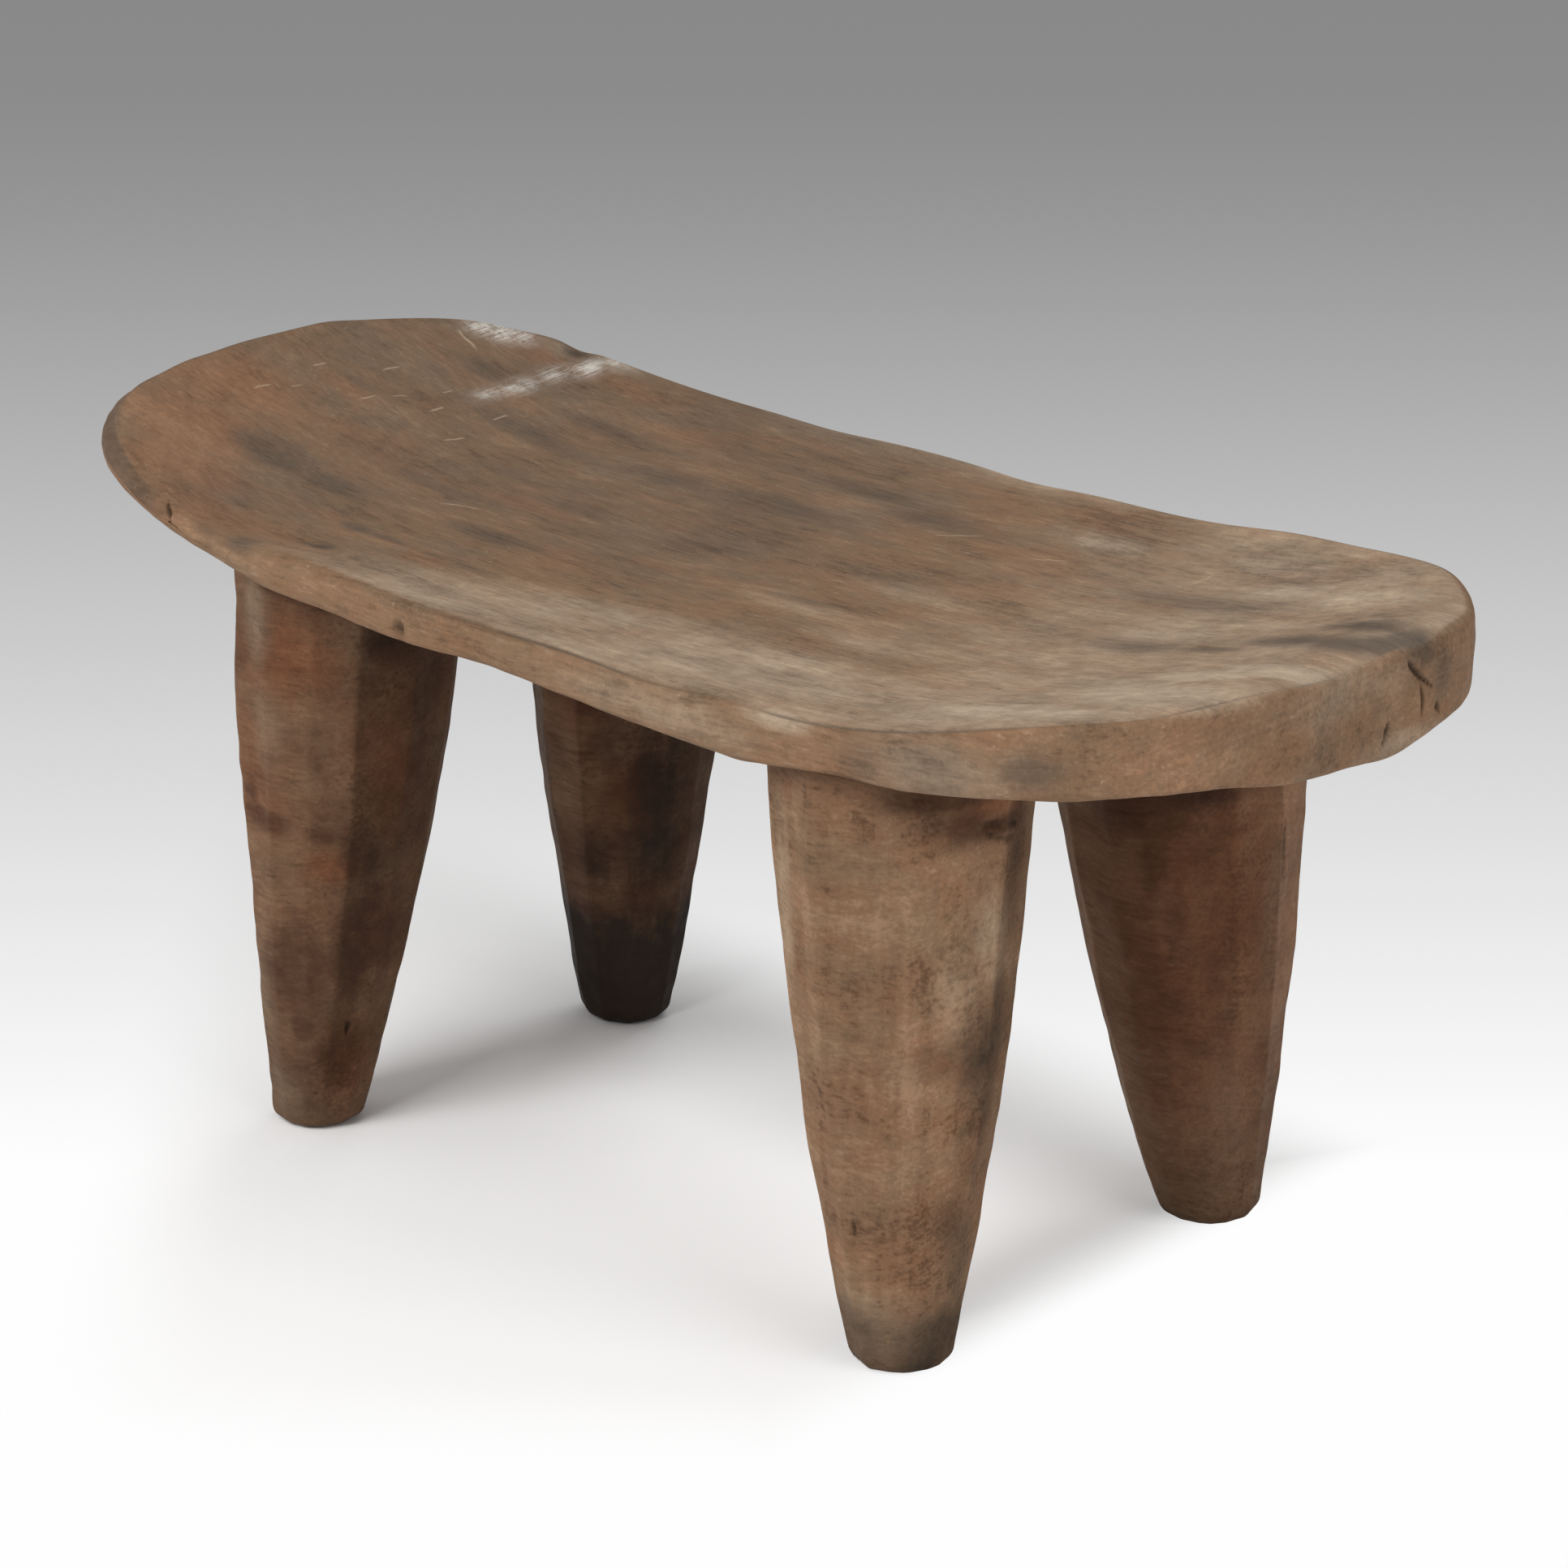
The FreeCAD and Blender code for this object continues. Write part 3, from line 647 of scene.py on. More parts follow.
def new_tree(name, kind, inputs, outputs):
    """An empty node tree with sockets named by kind, and the nodes that hold them."""
    tree = bpy.data.node_groups.new(name, kind)
    for direction, sockets in (("INPUT", inputs), ("OUTPUT", outputs)):
        for socket, labels in sockets.items():
            for label in labels:
                tree.interface.new_socket(label, in_out=direction, socket_type="NodeSocket" + socket)
    graph = Graph(tree)
    given = tree.nodes.new("NodeGroupInput").outputs
    result = tree.nodes.new("NodeGroupOutput").inputs
    return graph, given, result


LEG_INPUTS = {
    "Geometry": ["Flats"], "Vector": ["Foot Centre", "Top Centre", "Bow"],
    "Float": ["Foot Width", "Middle Width", "Top Width", "Edge Softness", "Cut Depth", "Foot Rounding",
              "Seat Overlap"],
    "Material": ["Wood"],
}
# Mesh spacing of a leg, and the sizes that all legs share, in metres.
LEG_AROUND = 260
LEG_ALONG = 190
FOOT_FILL = 12
EDGE_SOFTNESS = 0.0008
CUT_DEPTH = 0.0035
FOOT_ROUNDING = 0.007
SEAT_OVERLAP = 0.004
SHOULDER_REACH = 0.48
# A flat's share of the leg's width, how often the cuts change along it, and the step between flats' cuts.
FLAT_INSET = 0.968
CUTS_PER_METRE = 13.0
FLAT_LANES = 3.7


def leg_shoulder(graph, given, across, side, middle):
    """Height where a leg runs into the seat's belly, above a point of its top section."""
    top = graph.split(given["Top Centre"])
    reach = graph.times(graph.times(given["Top Width"], SHOULDER_REACH), middle)
    x = graph.plus(top[0], graph.times(across, reach))
    y = graph.plus(top[1], graph.times(side, reach))
    long_run = graph.math("POWER", graph.math("ABSOLUTE", graph.minus(x, UNDERSIDE_SHIFT)), 2.0)
    lift = graph.over(long_run, 2 * UNDERSIDE_RADIUS)
    out = graph.math("POWER", graph.math("ABSOLUTE", graph.over(y, HALF_WIDTH)), 2.0)
    drop = graph.times(graph.minus(1.0, out), BELLY_DROP)
    height = graph.minus(graph.plus(lift, RIM_HEIGHT - RIM_THICKNESS), drop)
    return graph.plus(height, given["Seat Overlap"])


def leg_width(graph, given, level):
    """Width of the leg at a share of its height, on a curve through its three widths."""
    foot, waist, top = given["Foot Width"], given["Middle Width"], given["Top Width"]
    both_ends = graph.plus(top, foot)
    bend = graph.times(graph.minus(both_ends, graph.times(waist, 2.0)), 2.0)
    slope = graph.minus(graph.minus(top, foot), bend)
    gain = graph.times(level, graph.plus(slope, graph.times(bend, level)))
    return graph.plus(foot, gain)


def leg_radius(graph, given, angle, height, width):
    """Distance from the leg's axis to the nearest of its hewn flats, with soft edges between them."""
    entry = graph.tree.nodes.new("GeometryNodeRepeatInput")
    leave = graph.tree.nodes.new("GeometryNodeRepeatOutput")
    entry.pair_with_output(leave)
    leave.repeat_items.clear()
    leave.repeat_items.new("FLOAT", "Radius")
    count = graph.add("GeometryNodeAttributeDomainSize", {"Geometry": given["Flats"]}).outputs["Point Count"]
    graph.feed(entry.inputs["Iterations"], count)
    entry.inputs["Radius"].default_value = 1.0
    sample = graph.add("GeometryNodeSampleIndex", data_type="FLOAT_VECTOR", domain="POINT")
    place = graph.add("GeometryNodeInputPosition").outputs[0]
    sampled = {"Geometry": given["Flats"], "Value": place, "Index": entry.outputs["Iteration"]}
    for name, value in sampled.items():
        graph.feed(sample.inputs[name], value)
    facing, lane, _ = graph.split(sample.outputs[0])
    turned = graph.math("COSINE", graph.minus(angle, facing))
    cut = graph.noise(graph.join(lane, graph.times(height, CUTS_PER_METRE), 0.0), 1.0, 2.0)[0]
    cut = graph.times(graph.minus(cut, 0.5), given["Cut Depth"])
    inner = graph.plus(graph.times(width, FLAT_INSET / 2), cut)
    flat = graph.over(inner, graph.math("MAXIMUM", turned, 0.25))
    nearest = graph.math("SMOOTH_MIN", entry.outputs["Radius"], flat, given["Edge Softness"])
    graph.tree.links.new(nearest, leave.inputs["Radius"])
    return leave.outputs["Radius"]


def foot_rounded(graph, given, radius, height):
    """The radius, drawn in over the lowest millimetres so that the foot's edge is round."""
    below = graph.minus(1.0, graph.over(height, given["Foot Rounding"]), clamp=True)
    level = graph.math("SQRT", graph.minus(1.0, graph.times(below, below)))
    drawn_in = graph.times(graph.minus(1.0, level), given["Foot Rounding"])
    return graph.minus(radius, drawn_in)


def leg_tree():
    """Grows a hewn leg: a swelling, leaning taper cut to flats, from the floor up into the seat."""
    graph, given, result = new_tree("hewn_leg", "GeometryNodeTree", LEG_INPUTS, {"Geometry": ["Geometry"]})
    blank = graph.add("GeometryNodeMeshCylinder", {
        "Vertices": LEG_AROUND, "Side Segments": LEG_ALONG, "Fill Segments": FOOT_FILL,
        "Radius": 1.0, "Depth": 1.0,
    }, fill_type="TRIANGLE_FAN").outputs["Mesh"]
    place = graph.split(graph.add("GeometryNodeInputPosition").outputs[0])
    angle = graph.math("ARCTAN2", place[1], place[0])
    across, side = graph.math("COSINE", angle), graph.math("SINE", angle)
    flat_place = graph.join(place[0], place[1], 0.0)
    middle = graph.add("ShaderNodeVectorMath", [flat_place], operation="LENGTH").outputs[1]
    share = graph.math("POWER", graph.math("MAXIMUM", graph.plus(place[2], 0.5), 0.0), 1.2)
    height = graph.times(share, leg_shoulder(graph, given, across, side, middle))
    level = graph.over(height, RIM_HEIGHT)
    radius = leg_radius(graph, given, angle, height, leg_width(graph, given, level))
    reach = graph.times(foot_rounded(graph, given, radius, height), middle)
    lean = graph.add("ShaderNodeMix", data_type="VECTOR")
    for key, value in ((0, level), (4, given["Foot Centre"]), (5, given["Top Centre"])):
        graph.feed(lean.inputs[key], value)
    belly = graph.times(graph.times(level, graph.minus(1.0, level)), 4.0)
    axis = graph.split(graph.vector("ADD", lean.outputs[1], graph.stretch(given["Bow"], belly)))
    moved = graph.join(graph.plus(axis[0], graph.times(across, reach)),
                       graph.plus(axis[1], graph.times(side, reach)), height)
    shaped = graph.add("GeometryNodeSetPosition", {"Geometry": blank, "Position": moved}).outputs[0]
    softened = graph.add("GeometryNodeSetShadeSmooth", {"Geometry": shaped}).outputs[0]
    real = graph.add("GeometryNodeRealizeInstances", {"Geometry": softened}).outputs[0]
    dressed = graph.add("GeometryNodeSetMaterial", {"Geometry": real, "Material": given["Wood"]}).outputs[0]
    graph.tree.links.new(dressed, result["Geometry"])
    return graph.tree


def grow_leg(tree, name, leg, wood):
    """Runs the leg tree with one leg's sizes and flats and returns the result as a plain mesh."""
    marks = bpy.data.meshes.new(name + "_flats")
    lanes = [leg["seed"] + FLAT_LANES * number for number in range(len(leg["flats"]))]
    marks.from_pydata([(math.radians(turn), lane, 0) for turn, lane in zip(leg["flats"], lanes)], [], [])
    holder = bpy.data.objects.new(name + "_grown", marks)
    bpy.context.scene.collection.objects.link(holder)
    modifier = holder.modifiers.new("hewn", "NODES")
    modifier.node_group = tree
    foot, waist, top = leg["widths"]
    values = {
        "Foot Centre": (*leg["foot"], 0.0), "Top Centre": (*leg["top"], RIM_HEIGHT),
        "Bow": (*leg["bow"], 0.0), "Foot Width": foot, "Middle Width": waist, "Top Width": top,
        "Edge Softness": EDGE_SOFTNESS, "Cut Depth": CUT_DEPTH,
        "Foot Rounding": FOOT_ROUNDING, "Seat Overlap": SEAT_OVERLAP, "Wood": wood,
    }
    sockets = {item.name: item.identifier for item in tree.interface.items_tree if item.in_out == "INPUT"}
    for label, value in values.items():
        modifier[sockets[label]] = value
    graph = bpy.context.evaluated_depsgraph_get()
    mesh = bpy.data.meshes.new_from_object(holder.evaluated_get(graph))
    mesh.name = name
    bpy.data.objects.remove(holder)
    return mesh


# The trunk's heart, seen along the grain, as y and z: the growth rings run round it.
HEART = (0.03, -0.14)


def grain_group():
    """The block's grain, which runs along the stool: growth rings, bands, streaks, fine lines and pores."""
    graph, given, result = new_tree("wood_grain", "ShaderNodeTree", {"Vector": ["Vector"]}, {
        "Float": ["Rings", "Bands", "Streaks", "Lines", "Pores"],
    })
    drift = graph.vector("SUBTRACT", graph.noise(given["Vector"], 8.0, 2.0)[1], (0.5, 0.5, 0.5))
    place = graph.vector("ADD", given["Vector"], graph.stretch(drift, (0.0, 0.02, 0.02)))
    x, y, z = graph.split(place)
    from_heart = graph.vector("SUBTRACT", graph.join(0.0, y, z), (0.0, *HEART))
    ring = graph.add("ShaderNodeVectorMath", [from_heart], operation="LENGTH").outputs["Value"]
    rings = graph.join(graph.times(x, 6.0), graph.times(ring, 420.0), 0.0)
    pores = graph.grain(place, 10.0, 1100.0, 1.0)
    values = {
        "Rings": graph.noise(rings, 1.0, 2.0)[0], "Bands": graph.grain(place, 3.2, 17.0, 4.0),
        "Streaks": graph.grain(place, 7.0, 150.0), "Lines": graph.grain(place, 11.0, 520.0, 2.0),
        "Pores": graph.ease(pores, 0.64, 0.76),
    }
    for name, value in values.items():
        graph.feed(result[name], value)
    return graph.tree


AGED_INPUTS = {
    "Vector": ["Vector"],
    "Color": ["Dark", "Middle", "Light", "Warm Colour", "Patina Colour", "Stain Colour", "Pale Colour"],
    "Float": ["Flat Tone", "Stain", "Warm", "Pale", "Grime", "Split", "Dust", "Blush", "Runs"],
}
GRIME_AND_SHADE_COLOUR = (0.020, 0.015, 0.012, 1.0)
SPLIT_COLOUR = (0.014, 0.010, 0.008, 1.0)
SCRATCH_COLOUR = (0.46, 0.35, 0.25, 1.0)
SCUFF_COLOUR = (0.80, 0.78, 0.72, 1.0)


def aged_group(grain):
    """Old, handled wood: grain, ragged stains, warm and pale patches, dust, grime, splits and tones, with the
    painted light and shade that its stain, grime, pale and tone masks also carry.
    """
    graph, given, result = new_tree("aged_wood", "ShaderNodeTree", AGED_INPUTS, {
        "Color": ["Colour"], "Float": ["Roughness", "Height"],
    })
    place = given["Vector"]
    cut = graph.group(grain, Vector=place)
    cloud = graph.noise(graph.stretch(place, (0.6, 1.0, 1.0)), 30.0, 4.0, 0.6)[0]
    mottle = graph.noise(place, 150.0, 4.0, 0.6)[0]
    speckle = graph.noise(place, 650.0, 2.0)[0]
    film = graph.split(graph.noise(graph.stretch(place, (0.5, 1.0, 1.0)), 34.0, 5.0, 0.66)[1])
    runs = graph.noise(graph.stretch(place, (1.0, 1.0, 0.12)), 85.0, 4.0, 0.62)[0]
    strokes = graph.split(graph.noise(graph.stretch(place, (0.28, 1.0, 1.0)), 210.0, 3.0, 0.6)[1])
    tone = graph.total(0.5, (cut["Bands"], 0.6), (cut["Streaks"], 0.25), (cut["Lines"], 0.65),
                       (cut["Rings"], 0.3), (film[2], 1.05), (strokes[2], 0.4), (mottle, 0.35),
                       (speckle, 0.4), (runs, given["Runs"]))
    colour = graph.mix(graph.ease(tone, 0.1, 0.5), given["Dark"], given["Middle"])
    colour = graph.mix(graph.ease(tone, 0.5, 0.95), colour, given["Light"])
    shade = graph.plus(graph.times(tone, 0.9), 0.55)
    ragged = graph.total(1.0, (cloud, 1.2), (film[2], 0.6), (mottle, 0.5), (runs, given["Runs"]))

    def layer(under, share, tint):
        return graph.mix(share, under, graph.mix(1.0, tint, shade, "MULTIPLY"))

    def patch(name, most):
        return graph.times(graph.ease(graph.times(given[name], ragged), 0.08, 0.85), most)

    for field, most in ((film, 0.55), (strokes, 0.14)):
        blush = graph.times(graph.ease(field[0], 0.47, 0.63, 0.0, most), given["Blush"])
        colour = layer(colour, blush, given["Warm Colour"])
        colour = layer(colour, graph.ease(field[1], 0.46, 0.62, 0.0, most), given["Patina Colour"])
    colour = layer(colour, patch("Warm", 0.75), given["Warm Colour"])
    colour = layer(colour, patch("Pale", 0.8), given["Pale Colour"])
    flecks = graph.ease(graph.grain(place, 8.0, 640.0, 2.0), 0.6, 0.74, 0.0, 0.18)
    colour = layer(colour, flecks, given["Pale Colour"])
    dust = graph.times(graph.ease(graph.noise(place, 420.0, 0.0)[0], 0.78, 0.86), given["Dust"])
    colour = graph.mix(dust, colour, given["Pale Colour"])
    # Stain, which also carries painted shade: under the seat, in the rim's crease, along its lower edge and
    # over the rear legs.
    colour = layer(colour, patch("Stain", 0.85), given["Stain Colour"])
    # Near-black grime, and painted shade where a leg runs under the seat.
    colour = graph.mix(patch("Grime", 0.9), colour, GRIME_AND_SHADE_COLOUR)
    colour = graph.mix(graph.times(cut["Pores"], 0.2), colour, given["Stain Colour"])
    # The flats' tones, partly painted light: lighter on flats turned to the lamps, darker on those turned
    # away.
    colour = graph.mix(1.0, colour, graph.total(1.0, (given["Flat Tone"], 0.9)), "MULTIPLY")
    colour = graph.mix(given["Split"], colour, SPLIT_COLOUR)
    height = graph.total(0.5, (cut["Lines"], 0.5), (cut["Streaks"], 0.5), (cut["Rings"], 0.35), (mottle, 0.5))
    height = graph.minus(height, graph.times(cut["Pores"], 0.3))
    graph.feed(result["Colour"], colour)
    roughness = graph.total(0.6, (mottle, 0.35), (cut["Bands"], 0.25), (given["Stain"], -0.08))
    graph.feed(result["Roughness"], roughness)
    graph.feed(result["Height"], graph.minus(height, given["Split"]))
    return graph.tree


def scratch_group():
    """One light scratch on the seat's top: thin, straight and fading to both ends."""
    graph, given, result = new_tree("light_scratch", "ShaderNodeTree", {
        "Vector": ["Vector", "Centre"], "Float": ["Turn", "Half Length", "Half Width"],
    }, {"Float": ["Mask"]})
    away = graph.vector("SUBTRACT", given["Vector"], given["Centre"])
    back = graph.times(given["Turn"], -1.0)
    turned = graph.add("ShaderNodeVectorRotate", {"Vector": away, "Angle": back}, rotation_type="Z_AXIS")
    along, across, _ = graph.split(turned.outputs[0])
    bend = graph.times(graph.minus(graph.noise(given["Vector"], 90.0, 1.0)[0], 0.5), 0.004)
    across = graph.math("ABSOLUTE", graph.plus(across, bend))
    reach = graph.over(graph.math("ABSOLUTE", along), given["Half Length"])
    inside = graph.minus(1.0, graph.over(across, given["Half Width"]), clamp=True)
    graph.feed(result["Mask"], graph.times(inside, graph.ease(reach, 0.5, 1.0, 1.0, 0.0)))
    return graph.tree


def scratched(graph, place, colour):
    """The seat's light scratches and the hairy scuffs at its far left corner, over its wood."""
    scratch = scratch_group()
    marks = 0.0
    for x, y, turn, half_length, half_width in SCRATCHES:
        mark = graph.group(scratch, Vector=graph.stretch(place, (1, 1, 0)), Centre=(x / 1000, y / 1000, 0),
                           Turn=math.radians(turn), Half_Length=half_length / 1000,
                           Half_Width=half_width / 1000)
        marks = graph.math("MAXIMUM", marks, mark["Mask"])
    marks = graph.times(graph.times(marks, 0.6), graph.mask("top"))
    hair = graph.noise(graph.stretch(place, (26.0, 1.0, 1.0)), 48.0, 3.0, 0.6)[0]
    rough = graph.ease(graph.noise(place, 110.0, 4.0, 0.7)[0], 0.3, 0.6, 0.25, 1.0)
    hair = graph.ease(hair, 0.45, 0.56, 0.3, 1.0)
    specks = graph.ease(graph.noise(place, 360.0, 3.0, 0.7)[0], 0.44, 0.58, 0.0, 0.8)
    worn = graph.times(graph.math("MAXIMUM", hair, specks), rough)
    scuff = graph.times(graph.mask("scuff"), worn)
    return graph.mix(scuff, graph.mix(marks, colour, SCRATCH_COLOUR), SCUFF_COLOUR)


MASKS = ("Stain", "Warm", "Pale", "Grime", "Split", "Flat_Tone")
SEAT_COLOURS = {
    "Dark": (0.110, 0.066, 0.039, 1), "Middle": (0.200, 0.119, 0.068, 1), "Light": (0.285, 0.180, 0.105, 1),
    "Warm_Colour": (0.238, 0.118, 0.063, 1), "Patina_Colour": (0.170, 0.119, 0.077, 1),
    "Stain_Colour": (0.092, 0.068, 0.050, 1), "Pale_Colour": (0.410, 0.322, 0.233, 1),
    "Dust": 0.3, "Blush": 0.6, "Runs": 0.0,
}
LEG_COLOURS = {
    "Dark": (0.105, 0.056, 0.031, 1), "Middle": (0.202, 0.116, 0.067, 1), "Light": (0.285, 0.180, 0.110, 1),
    "Warm_Colour": (0.222, 0.084, 0.038, 1), "Patina_Colour": (0.172, 0.114, 0.068, 1),
    "Stain_Colour": (0.044, 0.0185, 0.010, 1), "Pale_Colour": (0.330, 0.245, 0.165, 1),
    "Dust": 0.2, "Blush": 0.35, "Runs": 0.9,
}
# How deep the fine relief of each wood is, and how much it shines.
SEAT_RELIEF = 0.0004
LEG_RELIEF = 0.0003
WOOD_SHINE = 0.05


def aged_wood(name, aged, colours, relief, finish=None):
    """A material of old wood in the given colours, which reads the piece's own masks."""
    material = bpy.data.materials.new(name)
    material.use_nodes = True
    graph = Graph(material.node_tree)
    shader = material.node_tree.nodes["Principled BSDF"]
    place = graph.add("ShaderNodeTexCoord").outputs["Object"]
    masks = {label: graph.mask(label.lower()) for label in MASKS}
    wood = graph.group(aged, Vector=place, **colours, **masks)
    colour = finish(graph, place, wood["Colour"]) if finish else wood["Colour"]
    bump = graph.add("ShaderNodeBump", {"Strength": 1.0, "Distance": relief, "Height": wood["Height"]})
    graph.feed(shader.inputs["Base Color"], colour)
    graph.feed(shader.inputs["Roughness"], wood["Roughness"])
    graph.feed(shader.inputs["Normal"], bump.outputs[0])
    shader.inputs["Specular IOR Level"].default_value = WOOD_SHINE
    return material


def add_piece(name, mesh, node):
    """Puts a finished mesh in the scene in place of its solid."""
    piece = bpy.data.objects.new(name, mesh)
    bpy.context.scene.collection.objects.link(piece)
    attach(piece, "root")
    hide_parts(node)


def seat_bumps(points, bands):
    """How far the carver's tools and wear leave the seat proud of its plain shape."""
    top = 1 - smooth(0.9, 1.2, bands)
    wall = smooth(1.2, 2.0, bands) * (1 - smooth(3.2, 4.0, bands))
    belly = smooth(3.5, 4.1, bands)
    bumps = top * (0.0005 * waves(points, 0.12, 1, (1.8, 1, 1)) + 0.00015 * waves(points, 0.03, 2, (2, 1, 1)))
    bumps += wall * (0.0005 * waves(points, 0.06, 3) + 0.0002 * waves(points, 0.016, 4))
    bumps += belly * (0.0012 * waves(points, 0.07, 5) + 0.0004 * waves(points, 0.025, 6))
    bumps -= lumps(points, SEAT_CHIPS)
    bumps -= SEAT_SPLIT_DEPTH * split_mask(points, SEAT_SPLITS)
    return bumps - GROOVE_DEPTH * crest_groove(points, bands)


def crest_groove(points, bands):
    """The broken crease where dish and rim meet along the near side, and the bevel's edge at the left: carved
    as a shallow groove and painted dark as the shadow in it.
    """
    near = smooth(-0.10, 0.0, points[:, 0]) * smooth(0.03, -0.05, points[:, 1])
    broken = smooth(-0.9, 0.5, waves(points * (1, 1, 0), 0.09, 7))
    left = smooth(-0.27, -0.31, points[:, 0]) * smooth(0.10, 0.02, points[:, 1])
    width = np.where(bands < 1, 0.018, 0.35)
    return np.maximum(near * broken, 0.8 * left) * np.exp(-((bands - 1.0) / width) ** 2)


def seat_zones(points, bands):
    """Each point's share in the parts of the seat that its marks follow, by name."""
    x, y = points[:, 0], points[:, 1]
    inner = 0.7 - 0.4 * smooth(-0.2, 0.02, x)
    near_band_wear_and_highlight = smooth(0, 0.3, bands - inner) * (1 - smooth(0.96, 1.06, bands)) * smooth(0.02, -0.06, y)
    along = x - 0.05 * smooth(0.02, -0.06, y)
    # How much darker the top is over its left half, eased off along its near side.
    left_darkening = smooth(0.14, -0.06, x) * (1 - 0.65 * smooth(-0.02, -0.12, y) * smooth(-0.22, -0.12, x))
    return {
        "top": 1 - smooth(1.0, 1.4, bands),
        "wall": smooth(1.1, 1.6, bands) * (1 - smooth(3.4, 4.0, bands)),
        "far_crest": np.exp(-((bands - 1.15) / 0.3) ** 2) * smooth(0.09, 0.14, y),
        "near_band_wear_and_highlight": near_band_wear_and_highlight * smooth(-0.24, -0.08, x),
        "left_bevel": smooth(-0.27, -0.31, along) * smooth(1.05, 1.3, bands) * (1 - smooth(2.4, 3.0, bands)),
        "shaded_lower_edge": np.exp(-((bands - 3.4) / 0.35) ** 2),
        "left_darkening": left_darkening * (1 - 0.35 * smooth(-0.22, -0.30, x) * smooth(0.03, -0.04, y)),
    }


def seat_stain(points, bands, zone):
    """How dark each point of the seat is: stained, darker over the top's left half, and with painted shade in
    the crease inside the rim and along the rim's lower edge.
    """
    far_left = zone["far_crest"] * smooth(-0.14, -0.22, points[:, 0])
    return most(zone["top"] * top_spots(points, TOP_STAINS), spots(points, RIM_STAINS),
                0.5 * far_left, 0.68 * zone["left_bevel"], 0.58 * crest_groove(points, bands),
                0.25 * zone["shaded_lower_edge"], 0.42 * zone["top"] * zone["left_darkening"])


def seat_paleness(points, zone):
    """How pale each point of the seat is: worn in places, paler over the top's right half, and with pale wear
    and painted highlight along the near and far crests.
    """
    x = points[:, 0]
    far_crest_wear_and_highlight = zone["far_crest"] * smooth(-0.18, -0.10, x) * smooth(0.18, 0.08, x)
    return most(zone["top"] * top_spots(points, TOP_PALENESS), spots(points, RIM_WEAR),
                0.45 * zone["top"] * smooth(-0.02, 0.24, x), 0.48 * zone["near_band_wear_and_highlight"], 0.5 * far_crest_wear_and_highlight,
                0.16 * zone["wall"], 0.12 * zone["left_bevel"])


def seat_masks(points, bands):
    """Where the seat is stained or painted with shade, warm, pale or painted with highlight, scuffed and
    split, and its top. It has no grime or flats.
    """
    zone = seat_zones(points, bands)
    wall_warmth = 0.22 + 0.1 * smooth(0.28, 0.34, points[:, 0])
    rim_warmth = wall_warmth * zone["wall"] + 0.3 * zone["left_bevel"]
    chips = spots(points, [(*place, 0.8) for *place, _ in SEAT_CHIPS])
    return {
        "stain": seat_stain(points, bands, zone),
        "warm": np.maximum(zone["top"] * top_spots(points, TOP_WARMTH), rim_warmth),
        "pale": seat_paleness(points, zone),
        "scuff": (1 - smooth(1.5, 1.9, bands)) * top_spots(points, SCUFFS),
        "top": zone["top"], "grime": np.zeros(len(points)), "flat_tone": np.full(len(points), 0.5),
        "split": np.maximum(split_mask(points, SEAT_SPLITS), 0.9 * chips),
    }


def make_seat(wood):
    points, faces, bands = seat_mesh()
    mesh = plain_mesh("carved_seat", points, faces)
    points, normals = read_points(mesh), read_normals(mesh)
    write_masks(mesh, seat_masks(points, bands))
    write_points(mesh, points + normals * seat_bumps(points, bands)[:, None])
    mesh.shade_smooth()
    mesh.materials.append(wood)
    add_piece("carved_seat", mesh, "seat")


def flat_tones(points, leg):
    """Each point's tone, from the hewn flat that it lies on, blended across the edges between flats. The
    tones are partly painted light: flats turned to the lamps lighter, flats turned away darker.
    """
    level = points[:, 2:] / RIM_HEIGHT
    foot, top, bow = (np.array(leg[name]) for name in ("foot", "top", "bow"))
    away = points[:, :2] - foot - (top - foot) * level - bow * 4 * level * (1 - level)
    turn = np.arctan2(away[:, 1], away[:, 0])
    facing = np.cos(turn[:, None] - np.radians(leg["flats"]))
    share = np.exp(300 * (facing - facing.max(1)[:, None]))
    tones = share @ np.array(leg["tones"]) / share.sum(1) / 10
    return 0.5 + (tones - 0.5) * smooth(0.02, 0.16, points[:, 2])


def leg_masks(points, leg, marks):
    """Where a leg is stained, grimy, warm, pale and split, with painted shade under the seat and over the
    rear legs in its shadow, and the tones of its flats, partly painted light.
    """
    height, strength = leg["grime"]
    floor_grime = strength * smooth(height * 1.4, height * 0.6, points[:, 2])
    below = belly_height(points[:, 0], points[:, 1]) - points[:, 2]
    # Painted shade where the leg runs up under the seat: a dark band within 28 mm of the belly and near-black
    # within 16 mm, both scaled by the leg's under value.
    painted_shade_under_seat = smooth(0.028, 0.004, below)
    painted_shade_at_seat = 0.45 * leg["under"] * smooth(0.016, 0.003, below)
    masks = {kind: spots(points, marks[kind]) for kind in ("stain", "warm", "pale", "grime")}
    # A leg's shade value darkens it all over: partly its own darker tone, and for the rear legs also painted
    # shade from the seat above them.
    masks["stain"] = np.maximum(np.maximum(masks["stain"], leg["under"] * painted_shade_under_seat), leg["shade"])
    masks["grime"] = most(masks["grime"], floor_grime, painted_shade_at_seat)
    masks["split"] = split_mask(points, marks["splits"])
    masks["flat_tone"] = flat_tones(points, leg)
    return masks


